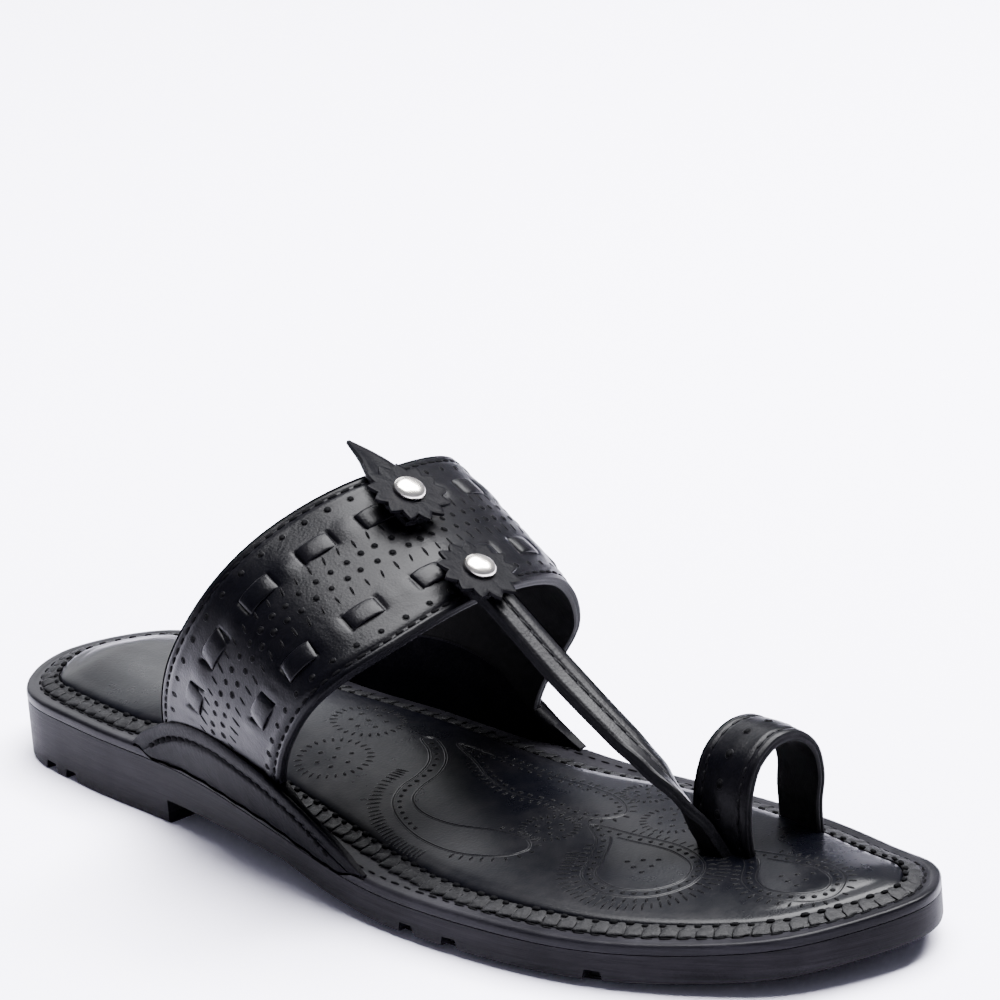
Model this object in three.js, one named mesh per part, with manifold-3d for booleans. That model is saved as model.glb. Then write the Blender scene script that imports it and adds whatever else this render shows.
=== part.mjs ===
// Right-foot kolhapuri sandal: moulded sole with heel block, rim layer, whip-laced welt, padded insole,
// strap upper (instep band, toe strap and toe loop in one), two sewn ears, two pinked rosettes with
// rivets and a pointed leaf tip.
// Millimetres; +X towards the toe, +Y towards the big-toe side, +Z up, floor at z = 0.
// The sole is drawn from the back of the heel (x = 0) and the finished group is moved over its own centre.
import * as THREE from 'three';
import { mergeVertices } from 'three/addons/utils/BufferGeometryUtils.js';
import Module from 'manifold-3d';

const wasm = await Module();
wasm.setup();

const { clamp, smoothstep, lerp } = THREE.MathUtils;
const GAP = 0.3;                    // air between neighbouring pieces

// ---------------------------------------------------------------- sole sizes
const SOLE = {
  length: 280,
  heelTop: 18,                      // rim above the floor at the heel
  ballTop: 11.4,                    // rim above the floor at the ball of the foot
  waistStart: 75,                   // the rim comes down between these two stations
  waistEnd: 175,
  springStart: 215,                 // the toe lifts from here on
  toeSpring: 4.3,
  rimLayer: 2.6,                    // rim layer with the joint below it
  forefoot: [90, 120],              // the side wall leaves the floor between these two stations
  treadDepth: 1.6,                  // tread standing below the forefoot's side wall
  treadInset: 4.5,
};
const SIDE_STEPS = 46;              // facets along each side of the outline
const FINE_STEPS = 2400;            // points on the smooth outline that the facets are taken from
const CUT_WIDTH = 140;              // cutting tools reach right across the sole
const RIM_EDGE = { seam: 0.8, seamHeight: 0.7, bevel: 1, bevelHeight: 0.9 };
const HEEL_TIP = { x: 0, y: -1.5 };
const TOE_TIP = { x: 280, y: 12 };
const OUTLINE = [                   // half outlines at stations from the heel
  { x: 12, medial: 23.5, lateral: -24.5 },
  { x: 40, medial: 30, lateral: -31.5 },
  { x: 80, medial: 30, lateral: -35 },
  { x: 120, medial: 35, lateral: -41.5 },
  { x: 160, medial: 38, lateral: -48 },
  { x: 195, medial: 41, lateral: -48 },
  { x: 225, medial: 41, lateral: -43 },
  { x: 252, medial: 35.5, lateral: -31 },
  { x: 270, medial: 29.5, lateral: -16 },
];
const ARCH_PROFILE = [              // side view of the gap between heel breast and forefoot
  { x: 78.6, z: -1 },
  { x: 173, z: -1 },
  { x: 173, z: 1.6 },
  { x: 161, z: 2.7 },
  { x: 146, z: 3.9 },
  { x: 129, z: 6.2 },
  { x: 78.6, z: 6.2 },
];
const BREAST_SKEW = 0.1;            // the breast runs forward towards the medial side
const SIDE_NOTCHES = [25, 34, 174, 188, 228];
const NOTCH = { foot: 6, head: 4, height: 2.6, depth: 6 };
const TREAD_PAD = { length: 100, height: 15, centre: 219, root: 4 };
const GROOVE = { width: 2.4, depth: 1.3, across: 60, bar: 4 };
const TREAD_GROOVES = { first: 178, last: 258, pitch: 10 };
const HEEL_GROOVES = { first: 14, last: 62, pitch: 12 };

// ---------------------------------------------------------------- welt and insole sizes
const BRAID = { outer: 4.2, inner: 8.4, height: 2.1, shoulder: 0.55 };
const WAIST_ROOM = { add: 4.2, grow: [50, 85], fade: [145, 195] };  // extra rim beside the ears
const INSOLE_RINGS = [              // distance inside the laced ring and height above the rim
  { inset: 0.3, lift: 0.3 },
  { inset: 0.3, lift: 1.2 },
  { inset: 1.2, lift: 2.2 },
  { inset: 4.5, lift: 3.2 },
];
const INSOLE_CROWN = [              // share of the half width that is left, and height above the rim
  { share: 0.72, lift: 4.1 },
  { share: 0.4, lift: 4.8 },
];

// ---------------------------------------------------------------- strap sizes
const BAND = { thickness: 2.4, width: 47, crown: 1, steps: 45, across: 4 };
const BAND_STATIONS = [             // outer face: rear edge and front edge at stations over the instep
  { at: 'lateral foot', rear: [79, -32.8, 19.5], front: [128.5, -41, 16.5] },
  { at: 'lateral exit', rear: [79.5, -37, 30.5], front: [129.2, -44.5, 25.8] },
  { at: 'lateral side', rear: [94.5, -44.7, 52.3], front: [140, -49.5, 42] },
  { at: 'lateral haunch', rear: [107.3, -39.3, 72.3], front: [151.5, -47.5, 56.2] },
  { at: 'lateral shoulder', rear: [114, -23, 83.5], front: [160.5, -31.5, 65.3] },
  { at: 'crest', rear: [121.5, -1, 89.5], front: [162.5, -4, 69] },
  { at: 'medial shoulder', rear: [113, 35.5, 80.5], front: [154, 28.5, 60.5] },
  { at: 'medial side', rear: [99.5, 41.5, 54.5], front: [144, 43.5, 42] },
  { at: 'medial exit', rear: [90, 32.3, 30], front: [137, 37, 26] },
  { at: 'medial foot', rear: [88, 29.5, 20], front: [135, 34.5, 17] },
];
const STRAP = { width: 8.5, thickness: 2.7, steps: 30, onBand: [0.76, 0.85, 0.94] };
const STRAP_SECTION = [             // corners in shares of the half width and half thickness
  [-1, -1], [1, -1], [1, 0.75], [0.12, 1], [-0.12, 1], [-1, 0.75],
];
const STRAP_STATIONS = [            // top face of the toe strap ahead of the band, and its turn in degrees
  { x: 166, y: -2.9, z: 69.7, turn: 5 },
  { x: 184, y: -1, z: 54.5, turn: 3 },
  { x: 200.5, y: 0.8, z: 42, turn: 8 },
  { x: 209, y: 1.9, z: 35.8, turn: 20 },
  { x: 217, y: 3.3, z: 28, turn: 48 },
  { x: 222, y: 4.9, z: 21, turn: 70 },
  { x: 225, y: 6, z: 14.6, turn: 78 },
];
const LOOP = { rear: 217, front: 233.5, thickness: 2.4, steps: 34, skew: -0.28, skewFrom: 0.35 };
const LOOP_PROFILE = [              // outer face of the toe loop, seen from the toe
  { y: 5.5, z: 13.4 },
  { y: 4.6, z: 18.5 },
  { y: 4.6, z: 25 },
  { y: 6.1, z: 32.2 },
  { y: 10, z: 38.6 },
  { y: 17.5, z: 42.2 },
  { y: 26, z: 41 },
  { y: 32, z: 35.5 },
  { y: 34, z: 28 },
  { y: 33, z: 21 },
  { y: 33, z: 13.2 },
];

// ---------------------------------------------------------------- ears, rosettes, rivets and leaf tip
const EAR = { lean: 4.6, steps: 26, sink: 2.6, tongue: 0.9, round: 0.8, waist: 0.45 };
const EAR_STATIONS = {              // height of each ear above the rim, and its thickness
  lateral: [
    { x: 63, rise: 0, thickness: 2.6 },
    { x: 72, rise: 5.4, thickness: 4.6 },
    { x: 86, rise: 11.6, thickness: 6.3 },
    { x: 103, rise: 14.8, thickness: 6.3 },
    { x: 121, rise: 13.6, thickness: 6 },
    { x: 130, rise: 12, thickness: 5 },
    { x: 139, rise: 9.4, thickness: 3.2 },
    { x: 149, rise: 5.4, thickness: 2.7 },
    { x: 160, rise: 0, thickness: 2.4 },
  ],
  medial: [
    { x: 66, rise: 0, thickness: 2.6 },
    { x: 76, rise: 6, thickness: 5 },
    { x: 90, rise: 12.5, thickness: 6.3 },
    { x: 106, rise: 15, thickness: 6.3 },
    { x: 122, rise: 13, thickness: 6.3 },
    { x: 135, rise: 6.4, thickness: 5.6 },
    { x: 142, rise: 2.8, thickness: 3.4 },
    { x: 149, rise: 0, thickness: 2.4 },
  ],
};
const ROSETTE = { radius: 10.4, root: 8.4, teeth: 16, thickness: 2, seat: 0.5 };
const RIVET = {
  head: 4.1, edge: 0.5, dome: 2.3, domeSteps: 6, shank: 1.5,
  back: 2.6, backPlate: 0.9, backGap: 0.8, sides: 24,
};
const RIVET_HOLE = { radius: 1.9, length: 24, sides: 16 };
const RIVETS = [                    // place of each rivet on the band: along the arch and across it
  { name: 'rear', along: 0.556, across: 0.3 },
  { name: 'front', along: 0.551, across: 0.925 },
];
const LEAF = { thickness: 1.7, steps: 12, lift: 0.9 };
const LEAF_STATIONS = [             // distance behind the rear rivet, offset to the side, half width, droop
  { back: -7, side: -1.2, half: 4.2, droop: 0 },
  { back: 2, side: 0.3, half: 5.2, droop: 0 },
  { back: 10, side: 1.7, half: 5, droop: 0 },
  { back: 18, side: 3.1, half: 2.7, droop: 1.1 },
  { back: 26.3, side: 4.3, half: 0.4, droop: 2.9 },
];

// ---------------------------------------------------------------- small tools
const vec = (x, y, z) => new THREE.Vector3(x, y, z);

/** Open uniform Catmull-Rom curve through points. */
function smoothCurve(points, closed = false) {
  return new THREE.CatmullRomCurve3(points, closed, 'catmullrom', 0.5);
}

/** Smooth look-up of one column of a table, against its x column. */
function columnAt(rows, column, x) {
  const last = rows.length - 1;
  if (x <= rows[0].x) return rows[0][column];
  if (x >= rows[last].x) return rows[last][column];
  const i = rows.findIndex((row) => row.x > x) - 1;
  const t = (x - rows[i].x) / (rows[i + 1].x - rows[i].x);
  return lerp(rows[i][column], rows[i + 1][column], t * t * (3 - 2 * t));
}

/** A manifold solid from vertices with shared corners and triangles of their numbers. */
function solidOf(vertices, triangles) {
  const vertProperties = new Float32Array(vertices.flatMap((v) => [v.x, v.y, v.z]));
  const triVerts = new Uint32Array(triangles.flat());
  return new wasm.Manifold(new wasm.Mesh({ numProp: 3, vertProperties, triVerts }));
}

/** A manifold solid from a three.js geometry, after its matrix is applied. */
function solidFromGeometry(geometry, matrix = new THREE.Matrix4()) {
  const placed = geometry.clone().applyMatrix4(matrix);
  placed.deleteAttribute('normal');
  placed.deleteAttribute('uv');
  const merged = mergeVertices(placed, 1e-4);
  return new wasm.Manifold(new wasm.Mesh({
    numProp: 3,
    vertProperties: new Float32Array(merged.attributes.position.array),
    triVerts: new Uint32Array(merged.index.array),
  }));
}

/** The three.js geometry of a solid. */
function geometryOf(solid) {
  const mesh = solid.getMesh();
  const geometry = new THREE.BufferGeometry();
  geometry.setAttribute('position', new THREE.BufferAttribute(new Float32Array(mesh.vertProperties), 3));
  geometry.setIndex(new THREE.BufferAttribute(new Uint32Array(mesh.triVerts), 1));
  geometry.computeVertexNormals();
  return geometry;
}

/** Solid between equal closed sections that run one after another, with flat ends. */
function loft(sections) {
  const count = sections[0].length;
  const triangles = [];
  for (let s = 0; s < sections.length - 1; s += 1) {
    for (let i = 0; i < count; i += 1) {
      const a = s * count + i;
      const b = s * count + ((i + 1) % count);
      triangles.push([a, b, b + count], [a, b + count, a + count]);
    }
  }
  const end = (sections.length - 1) * count;
  for (let i = 0; i < count / 2 - 1; i += 1) {
    const j = count - 1 - i;
    triangles.push([i, j, i + 1], [j, j - 1, i + 1]);
    triangles.push([end + i, end + i + 1, end + j], [end + j, end + i + 1, end + j - 1]);
  }
  const solid = solidOf(sections.flat(), triangles);
  if (solid.volume() > 0) return solid;
  return solidOf(sections.flat(), triangles.map(([a, b, c]) => [a, c, b]));
}

// ---------------------------------------------------------------- outline of the sole
/** Rim above the floor: high heel, falling waist, flat ball, rising toe. */
function rimHeight(x) {
  const heel = smoothstep(SOLE.waistEnd - x, 0, SOLE.waistEnd - SOLE.waistStart);
  return SOLE.ballTop + (SOLE.heelTop - SOLE.ballTop) * heel + springHeight(x);
}

/** Lift of the whole sole towards the toe. */
function springHeight(x) {
  const along = clamp((x - SOLE.springStart) / (SOLE.length - SOLE.springStart), 0, 1);
  return SOLE.toeSpring * along ** 2;
}

/** Lower edge of the side wall: on the floor at the heel, just above the tread at the forefoot. */
function wallFoot(x) {
  const forefoot = smoothstep(x, ...SOLE.forefoot);
  return SOLE.treadDepth * forefoot + springHeight(x);
}

/** Points of one side from heel tip to toe tip, evenly spaced along it. */
function sidePoints(side) {
  const rows = OUTLINE.map((row) => vec(row.x, row[side], 0));
  const other = OUTLINE.map((row) => vec(row.x, row[side === 'medial' ? 'lateral' : 'medial'], 0));
  const heel = vec(HEEL_TIP.x, HEEL_TIP.y, 0);
  const toe = vec(TOE_TIP.x, TOE_TIP.y, 0);
  const curve = smoothCurve([heel, ...rows, toe, ...other.reverse()], true);
  const fine = curve.getPoints(FINE_STEPS);
  const toeIndex = FINE_STEPS / 2;
  const half = fine.slice(0, toeIndex + 1);
  const length = [0];
  for (let i = 1; i < half.length; i += 1) length.push(length[i - 1] + half[i].distanceTo(half[i - 1]));
  const points = [];
  for (let k = 0, i = 0; k <= SIDE_STEPS; k += 1) {
    const target = (length[length.length - 1] * k) / SIDE_STEPS;
    while (i < half.length - 2 && length[i + 1] < target) i += 1;
    const t = (target - length[i]) / (length[i + 1] - length[i]);
    points.push(half[i].clone().lerp(half[i + 1], clamp(t, 0, 1)));
  }
  return points;
}

const lateralSide = sidePoints('lateral');
const medialSide = sidePoints('medial');
const outlineLoop = [...lateralSide, ...medialSide.slice(1, -1).reverse()];
const outlineNormals = outlineLoop.map((point, i) => {
  const before = outlineLoop[(i + outlineLoop.length - 1) % outlineLoop.length];
  const after = outlineLoop[(i + 1) % outlineLoop.length];
  return vec(after.y - before.y, before.x - after.x, 0).normalize();
});

/** Outline moved inwards by inset, each point at the height that the function gives for its x. */
function ring(inset, height, room = () => 0) {
  return outlineLoop.map((point, i) => {
    const moved = point.clone().addScaledVector(outlineNormals[i], -inset - room(point.x));
    return moved.setZ(height(moved.x));
  });
}

/** How much further in the laced ring and the insole lie at the waist, where the ears stand on the rim. */
function waistRoom(x) {
  const { add, grow, fade } = WAIST_ROOM;
  return add * smoothstep(x, ...grow) * (1 - smoothstep(x, ...fade));
}

/** Spine point that faces outline point i, held back from the two round ends. */
function spinePoint(loop, i) {
  const reach = 5;
  const k = clamp(i <= SIDE_STEPS ? i : loop.length - i, reach, SIDE_STEPS - reach);
  return loop[k].clone().add(loop[loop.length - k]).multiplyScalar(0.5);
}

/** Ring drawn in towards the spine, for the crowned face of the insole. */
function shrunkRing(loop, share, height) {
  return loop.map((point, i) => {
    const spine = spinePoint(loop, i);
    const moved = spine.clone().lerp(point, share);
    return moved.setZ(height(moved.x));
  });
}

/** Closed solid from outline rings stacked upwards, its two ends closed by strips across the sole. */
function stack(rings) {
  const count = rings[0].length;
  const triangles = [];
  for (let s = 0; s < rings.length - 1; s += 1) {
    for (let i = 0; i < count; i += 1) {
      const a = s * count + i;
      const b = s * count + ((i + 1) % count);
      triangles.push([a, b, b + count], [a, b + count, a + count]);
    }
  }
  const top = (rings.length - 1) * count;
  const closeEnd = (base, up) => {
    for (let i = 0; i < SIDE_STEPS; i += 1) {
      const a = base + i;
      const b = base + i + 1;
      const c = base + ((count - i - 1) % count);
      const d = base + ((count - i) % count);
      const strip = [];
      if (i < SIDE_STEPS - 1) strip.push([a, b, c]);
      else strip.push([a, b, d]);
      if (i > 0 && i < SIDE_STEPS - 1) strip.push([a, c, d]);
      triangles.push(...strip.map(([p, q, r]) => (up ? [p, q, r] : [p, r, q])));
    }
  };
  closeEnd(0, false);
  closeEnd(top, true);
  return solidOf(rings.flat(), triangles);
}

/** Point and outward direction on one side of the outline at station x. */
function sideAt(side, x) {
  const points = side === 'lateral' ? lateralSide : medialSide;
  const i = clamp(points.findIndex((point) => point.x > x) - 1, 0, points.length - 2);
  const t = (x - points[i].x) / (points[i + 1].x - points[i].x);
  const direction = points[i + 1].clone().sub(points[i]).normalize();
  const out = side === 'lateral' ? vec(direction.y, -direction.x, 0) : vec(-direction.y, direction.x, 0);
  return { point: points[i].clone().lerp(points[i + 1], t), out };
}

/** Box with its centre at the given place. */
function box(sizeX, sizeY, sizeZ, x, y, z) {
  return solidFromGeometry(
    new THREE.BoxGeometry(sizeX, sizeY, sizeZ),
    new THREE.Matrix4().makeTranslation(x, y, z),
  );
}

// ---------------------------------------------------------------- outsole
/** Prism under the waist that leaves the heel block with its breast, and the arch. */
function archGap() {
  const outline = new THREE.Shape(ARCH_PROFILE.map(({ x, z }) => new THREE.Vector2(x, z)));
  const prism = new THREE.ExtrudeGeometry(outline, { depth: CUT_WIDTH, bevelEnabled: false });
  const stand = new THREE.Matrix4().makeRotationX(Math.PI / 2).setPosition(0, CUT_WIDTH / 2, 0);
  const skew = new THREE.Matrix4().set(1, BREAST_SKEW, 0, 0, 0, 1, 0, 0, 0, 0, 1, 0, 0, 0, 0, 1);
  return solidFromGeometry(prism, skew.multiply(stand));
}

/** Trapezoid notch in the lower edge of the side wall. */
function sideNotch(side, x) {
  const { point, out } = sideAt(side, x);
  const foot = wallFoot(x);
  const outline = new THREE.Shape([
    new THREE.Vector2(-NOTCH.foot / 2, -1),
    new THREE.Vector2(NOTCH.foot / 2, -1),
    new THREE.Vector2(NOTCH.head / 2, NOTCH.height),
    new THREE.Vector2(-NOTCH.head / 2, NOTCH.height),
  ]);
  const prism = new THREE.ExtrudeGeometry(outline, { depth: NOTCH.depth, bevelEnabled: false });
  const along = vec(0, 0, 1).cross(out);
  const place = new THREE.Matrix4().makeBasis(along, vec(0, 0, 1), out);
  const start = point.clone().addScaledVector(out, 1 - NOTCH.depth);
  return solidFromGeometry(prism, place.setPosition(start.x, start.y, foot));
}

/** Transverse tread grooves from first to last station. */
function grooves({ first, last, pitch }) {
  const cuts = [];
  for (let x = first; x <= last; x += pitch) {
    const middle = springHeight(x) + GROOVE.depth - GROOVE.bar / 2;
    cuts.push(box(GROOVE.width, GROOVE.across, GROOVE.bar, x, 0, middle));
  }
  return cuts;
}

/** Side wall, heel block and forefoot tread in one moulding. */
function buildOutsole() {
  const body = stack([ring(0, wallFoot), ring(0, (x) => rimHeight(x) - SOLE.rimLayer)]);
  const padFoot = ring(SOLE.treadInset, springHeight);
  const padHead = ring(SOLE.treadInset, (x) => springHeight(x) + TREAD_PAD.root);
  const forefoot = box(TREAD_PAD.length, CUT_WIDTH, 2 * TREAD_PAD.height, TREAD_PAD.centre, 0, 0);
  const pad = stack([padFoot, padHead]).intersect(forefoot);
  let outsole = body.subtract(archGap()).add(pad);
  for (const cut of [...grooves(TREAD_GROOVES), ...grooves(HEEL_GROOVES)]) outsole = outsole.subtract(cut);
  for (const side of ['lateral', 'medial']) {
    for (const x of SIDE_NOTCHES) outsole = outsole.subtract(sideNotch(side, x));
  }
  return outsole;
}

// ---------------------------------------------------------------- midsole, braid and insole
/** Rim layer with a slight bevel at the seam and at its upper edge. */
function buildMidsole() {
  const seam = SOLE.rimLayer - GAP;
  return stack([
    ring(RIM_EDGE.seam, (x) => rimHeight(x) - seam),
    ring(0, (x) => rimHeight(x) - seam + RIM_EDGE.seamHeight),
    ring(0, (x) => rimHeight(x) - RIM_EDGE.bevelHeight),
    ring(RIM_EDGE.bevel, rimHeight),
  ]);
}

/** Laced ring that lies on the rim, with a half-round back. */
function buildBraid() {
  const middle = (BRAID.outer + BRAID.inner) / 2;
  const half = (BRAID.inner - BRAID.outer) / 2;
  const sections = [
    { inset: BRAID.outer, lift: GAP },
    { inset: BRAID.outer, lift: BRAID.height * BRAID.shoulder },
    { inset: middle - half * 0.5, lift: BRAID.height + GAP },
    { inset: middle + half * 0.5, lift: BRAID.height + GAP },
    { inset: BRAID.inner, lift: BRAID.height * BRAID.shoulder },
    { inset: BRAID.inner, lift: GAP },
  ];
  const rings = sections.map(({ inset, lift }) => ring(inset, (x) => rimHeight(x) + lift, waistRoom));
  const count = rings[0].length;
  const triangles = [];
  rings.forEach((points, s) => {
    const next = (s + 1) % rings.length;
    for (let i = 0; i < count; i += 1) {
      const j = (i + 1) % count;
      triangles.push([s * count + i, s * count + j, next * count + j]);
      triangles.push([s * count + i, next * count + j, next * count + i]);
    }
  });
  return solidOf(rings.flat(), triangles);
}

/** Padded insole: rolled edge, then a crowned face that is highest along the spine. */
function buildInsole() {
  const lifted = (lift) => (x) => rimHeight(x) + lift;
  const edge = INSOLE_RINGS.map(({ inset, lift }) => ring(BRAID.inner + inset, lifted(lift), waistRoom));
  const inner = edge[edge.length - 1];
  const crown = INSOLE_CROWN.map(({ share, lift }) => shrunkRing(inner, share, lifted(lift)));
  return stack([...edge, ...crown]);
}

// ---------------------------------------------------------------- upper: band, toe strap and toe loop
const rearEdge = smoothCurve(BAND_STATIONS.map(({ rear }) => vec(...rear)));
const frontEdge = smoothCurve(BAND_STATIONS.map(({ front }) => vec(...front)));

/** Point on the ruled face between the band's two edges. */
function bandChord(along, across) {
  return rearEdge.getPoint(along).lerp(frontEdge.getPoint(along), across);
}

/** Outward direction of the band's face. */
function bandNormal(along, across) {
  const step = 0.002;
  const run = bandChord(Math.min(along + step, 1), across).sub(bandChord(Math.max(along - step, 0), across));
  const width = frontEdge.getPoint(along).sub(rearEdge.getPoint(along));
  return width.cross(run).normalize();
}

/** Point above the band's crowned outer face, lift along its outward direction. */
function bandFace(along, across, lift = 0) {
  const crown = BAND.crown * Math.sin(Math.PI * along) * 4 * across * (1 - across);
  return bandChord(along, across).addScaledVector(bandNormal(along, across), crown + lift);
}

/** Moves both end sections outwards along the body, in place. */
function lengthenEnds(sections, by) {
  for (const [end, beside] of [[0, 1], [sections.length - 1, sections.length - 2]]) {
    const next = sections[beside];
    sections[end].forEach((point, i) => point.add(point.clone().sub(next[i]).setLength(by)));
  }
}

/** The instep band as one bent wall; grow thickens it all round, to cut the room that it needs. */
function bandWall(grow = 0) {
  const edge = grow / BAND.width;
  const sections = [];
  for (let s = 0; s <= BAND.steps; s += 1) {
    const along = s / BAND.steps;
    const outer = [];
    const inner = [];
    for (let k = 0; k <= BAND.across; k += 1) {
      const across = lerp(-edge, 1 + edge, k / BAND.across);
      outer.push(bandFace(along, across, grow));
      inner.unshift(bandFace(along, across, -BAND.thickness - grow));
    }
    sections.push([...outer, ...inner]);
  }
  lengthenEnds(sections, grow);
  return loft(sections);
}

/** Line of the toe strap's top face, from under the front rosette to the insole. */
function strapLine() {
  const { along } = RIVETS[1];
  const onBand = STRAP.onBand.map((across) => bandFace(along, across, STRAP.thickness - GAP));
  const points = [...onBand, ...STRAP_STATIONS.map(({ x, y, z }) => vec(x, y, z))];
  return smoothCurve(points);
}

/** The toe strap, folded along its middle, turning on edge towards the loop. */
function strapWall(grow = 0) {
  const line = strapLine();
  const half = STRAP.width / 2 + grow;
  const sections = [];
  for (let s = 0; s <= STRAP.steps; s += 1) {
    const place = line.getPoint(s / STRAP.steps);
    const run = line.getTangent(s / STRAP.steps);
    const turn = THREE.MathUtils.degToRad(columnAt(STRAP_STATIONS, 'turn', place.x));
    const side = vec(0, 1, 0).addScaledVector(run, -run.y).normalize().applyAxisAngle(run, -turn);
    const up = run.clone().cross(side);
    const middle = place.clone().addScaledVector(up, -STRAP.thickness / 2);
    const rise = STRAP.thickness / 2 + grow;
    sections.push(STRAP_SECTION.map(([a, b]) => (
      middle.clone().addScaledVector(side, a * half).addScaledVector(up, b * rise)
    )));
  }
  lengthenEnds(sections, grow);
  return loft(sections);
}

/** Toe loop: its profile run from rear to front, the medial leg turned back. */
function loopWall(grow = 0) {
  const profile = smoothCurve(LOOP_PROFILE.map(({ y, z }) => vec(0, y, z)));
  const middle = (LOOP.rear + LOOP.front) / 2;
  const sections = [];
  for (let s = 0; s <= LOOP.steps; s += 1) {
    const share = s / LOOP.steps;
    const point = profile.getPoint(share);
    const run = profile.getTangent(share);
    const out = vec(0, -run.z, run.y);
    const turned = LOOP.skew * smoothstep(share, LOOP.skewFrom, 1);
    const at = (x, lift) => vec(x, point.y + turned * (x - middle), point.z).addScaledVector(out, lift);
    const rear = LOOP.rear - grow;
    const front = LOOP.front + grow;
    const depth = -LOOP.thickness - grow;
    sections.push([at(rear, grow), at(front, grow), at(front, depth), at(rear, depth)]);
  }
  lengthenEnds(sections, grow);
  return loft(sections);
}

// ---------------------------------------------------------------- rivets, rosettes and leaf tip
/** Matrix that stands local +Z on the band at a rivet, local +X running forward. */
function rivetPlace({ along, across }, lift) {
  const up = bandNormal(along, across);
  const forward = frontEdge.getPoint(along).sub(rearEdge.getPoint(along));
  forward.addScaledVector(up, -forward.dot(up)).normalize();
  const side = up.clone().cross(forward);
  const matrix = new THREE.Matrix4().makeBasis(forward, side, up);
  return matrix.setPosition(bandFace(along, across, lift));
}

/** Cylinder through every layer at a rivet. */
function rivetBore(rivet) {
  const { radius, length, sides } = RIVET_HOLE;
  const bore = new THREE.CylinderGeometry(radius, radius, length, sides).rotateX(Math.PI / 2);
  return solidFromGeometry(bore, rivetPlace(rivet, 0));
}

/** Domed head, shank and back plate, turned in one piece. */
function rivetGeometry(stackHeight) {
  const { head, edge, dome, domeSteps, shank, back, backPlate, backGap, sides } = RIVET;
  const under = stackHeight + GAP;
  const foot = -BAND.thickness - backGap;
  const profile = [[0, foot - backPlate], [back, foot - backPlate], [back, foot], [shank, foot],
    [shank, under], [head, under], [head, under + edge]];
  for (let k = 1; k < domeSteps; k += 1) {
    const angle = (k / domeSteps) * (Math.PI / 2);
    profile.push([head * Math.cos(angle), under + edge + (dome - edge) * Math.sin(angle)]);
  }
  profile.push([0, under + dome]);
  const points = profile.map(([radius, z]) => new THREE.Vector2(radius, z));
  return new THREE.LatheGeometry(points, sides).rotateX(Math.PI / 2);
}

/** Pinked leather disc with a hole for the rivet. */
function rosetteGeometry() {
  const outline = new THREE.Shape();
  for (let k = 0; k < 2 * ROSETTE.teeth; k += 1) {
    const radius = k % 2 === 0 ? ROSETTE.radius : ROSETTE.root;
    const angle = (k / ROSETTE.teeth) * Math.PI;
    const corner = new THREE.Vector2(radius * Math.cos(angle), radius * Math.sin(angle));
    if (k === 0) outline.moveTo(corner.x, corner.y);
    else outline.lineTo(corner.x, corner.y);
  }
  outline.closePath();
  const hole = new THREE.Path().absarc(0, 0, RIVET_HOLE.radius, 0, Math.PI * 2, true);
  outline.holes.push(hole);
  const options = { depth: ROSETTE.thickness, bevelEnabled: false, curveSegments: RIVET_HOLE.sides };
  return new THREE.ExtrudeGeometry(outline, options);
}

/** Pointed tip that starts under the rear rosette and stands out behind the band. */
function buildLeafTip() {
  const place = rivetPlace(RIVETS[0], LEAF.lift);
  const middle = smoothCurve(LEAF_STATIONS.map(({ back, side, droop }) => vec(-back, side, -droop)));
  const width = smoothCurve(LEAF_STATIONS.map(({ back, half }) => vec(-back, half, 0)));
  const sections = [];
  for (let s = 0; s <= LEAF.steps; s += 1) {
    const { x, y, z } = middle.getPoint(s / LEAF.steps);
    const half = width.getPoint(s / LEAF.steps).y;
    const top = z + LEAF.thickness * lerp(0.5, 1, clamp(half / 3, 0, 1));
    const corners = [[y - half, z], [y + half, z], [y + half, top], [y - half, top]];
    sections.push(corners.map(([side, lift]) => vec(x, side, lift).applyMatrix4(place)));
  }
  return loft(sections).subtract(rivetBore(RIVETS[0]));
}

// ---------------------------------------------------------------- ears
/** Sewn ear: a wall on the sole's edge that leans out with the band; grow thickens it, to cut its room. */
function earWall(side, grow = 0) {
  const rows = EAR_STATIONS[side];
  const peak = Math.max(...rows.map(({ rise }) => rise));
  const line = smoothCurve(rows.map(({ x, rise, thickness }) => vec(x, rise, thickness)));
  const sections = [];
  for (let s = 0; s <= EAR.steps; s += 1) {
    const { x, y: rise, z: thickness } = line.getPoint(s / EAR.steps);
    const { point, out } = sideAt(side, x);
    const share = clamp(rise / peak, 0, 1);
    const lean = EAR.lean * share;
    const low = rimHeight(x) + GAP - EAR.sink * smoothstep(share, 0.02, 0.4) - grow;
    const high = rimHeight(x) + GAP + EAR.tongue + rise + grow;
    const round = Math.min(1, (high - low) / 3);
    const outer = -grow;
    const inner = thickness + grow;
    const middle = lerp(low, high, EAR.waist);
    const corner = (inset, z) => point.clone().addScaledVector(out, -inset).setZ(z);
    sections.push([
      corner(outer, low),
      corner(outer - lean * (1 - EAR.waist), middle),
      corner(outer - lean, high - round),
      corner(outer - lean + round * EAR.round, high),
      corner(inner - lean - round * EAR.round, high),
      corner(inner - lean, high - round),
      corner(inner - lean * EAR.waist, middle),
      corner(inner, low),
    ]);
  }
  lengthenEnds(sections, grow);
  return loft(sections);
}

// ---------------------------------------------------------------- assembly
const COLOURS = {
  rubber: { color: 0x2c2c30, roughness: 0.62, metalness: 0 },
  leather: { color: 0x1b1b1f, roughness: 0.4, metalness: 0 },
  lining: { color: 0x232327, roughness: 0.5, metalness: 0 },
  nickel: { color: 0xc9c4bb, roughness: 0.2, metalness: 1 },
};

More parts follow.
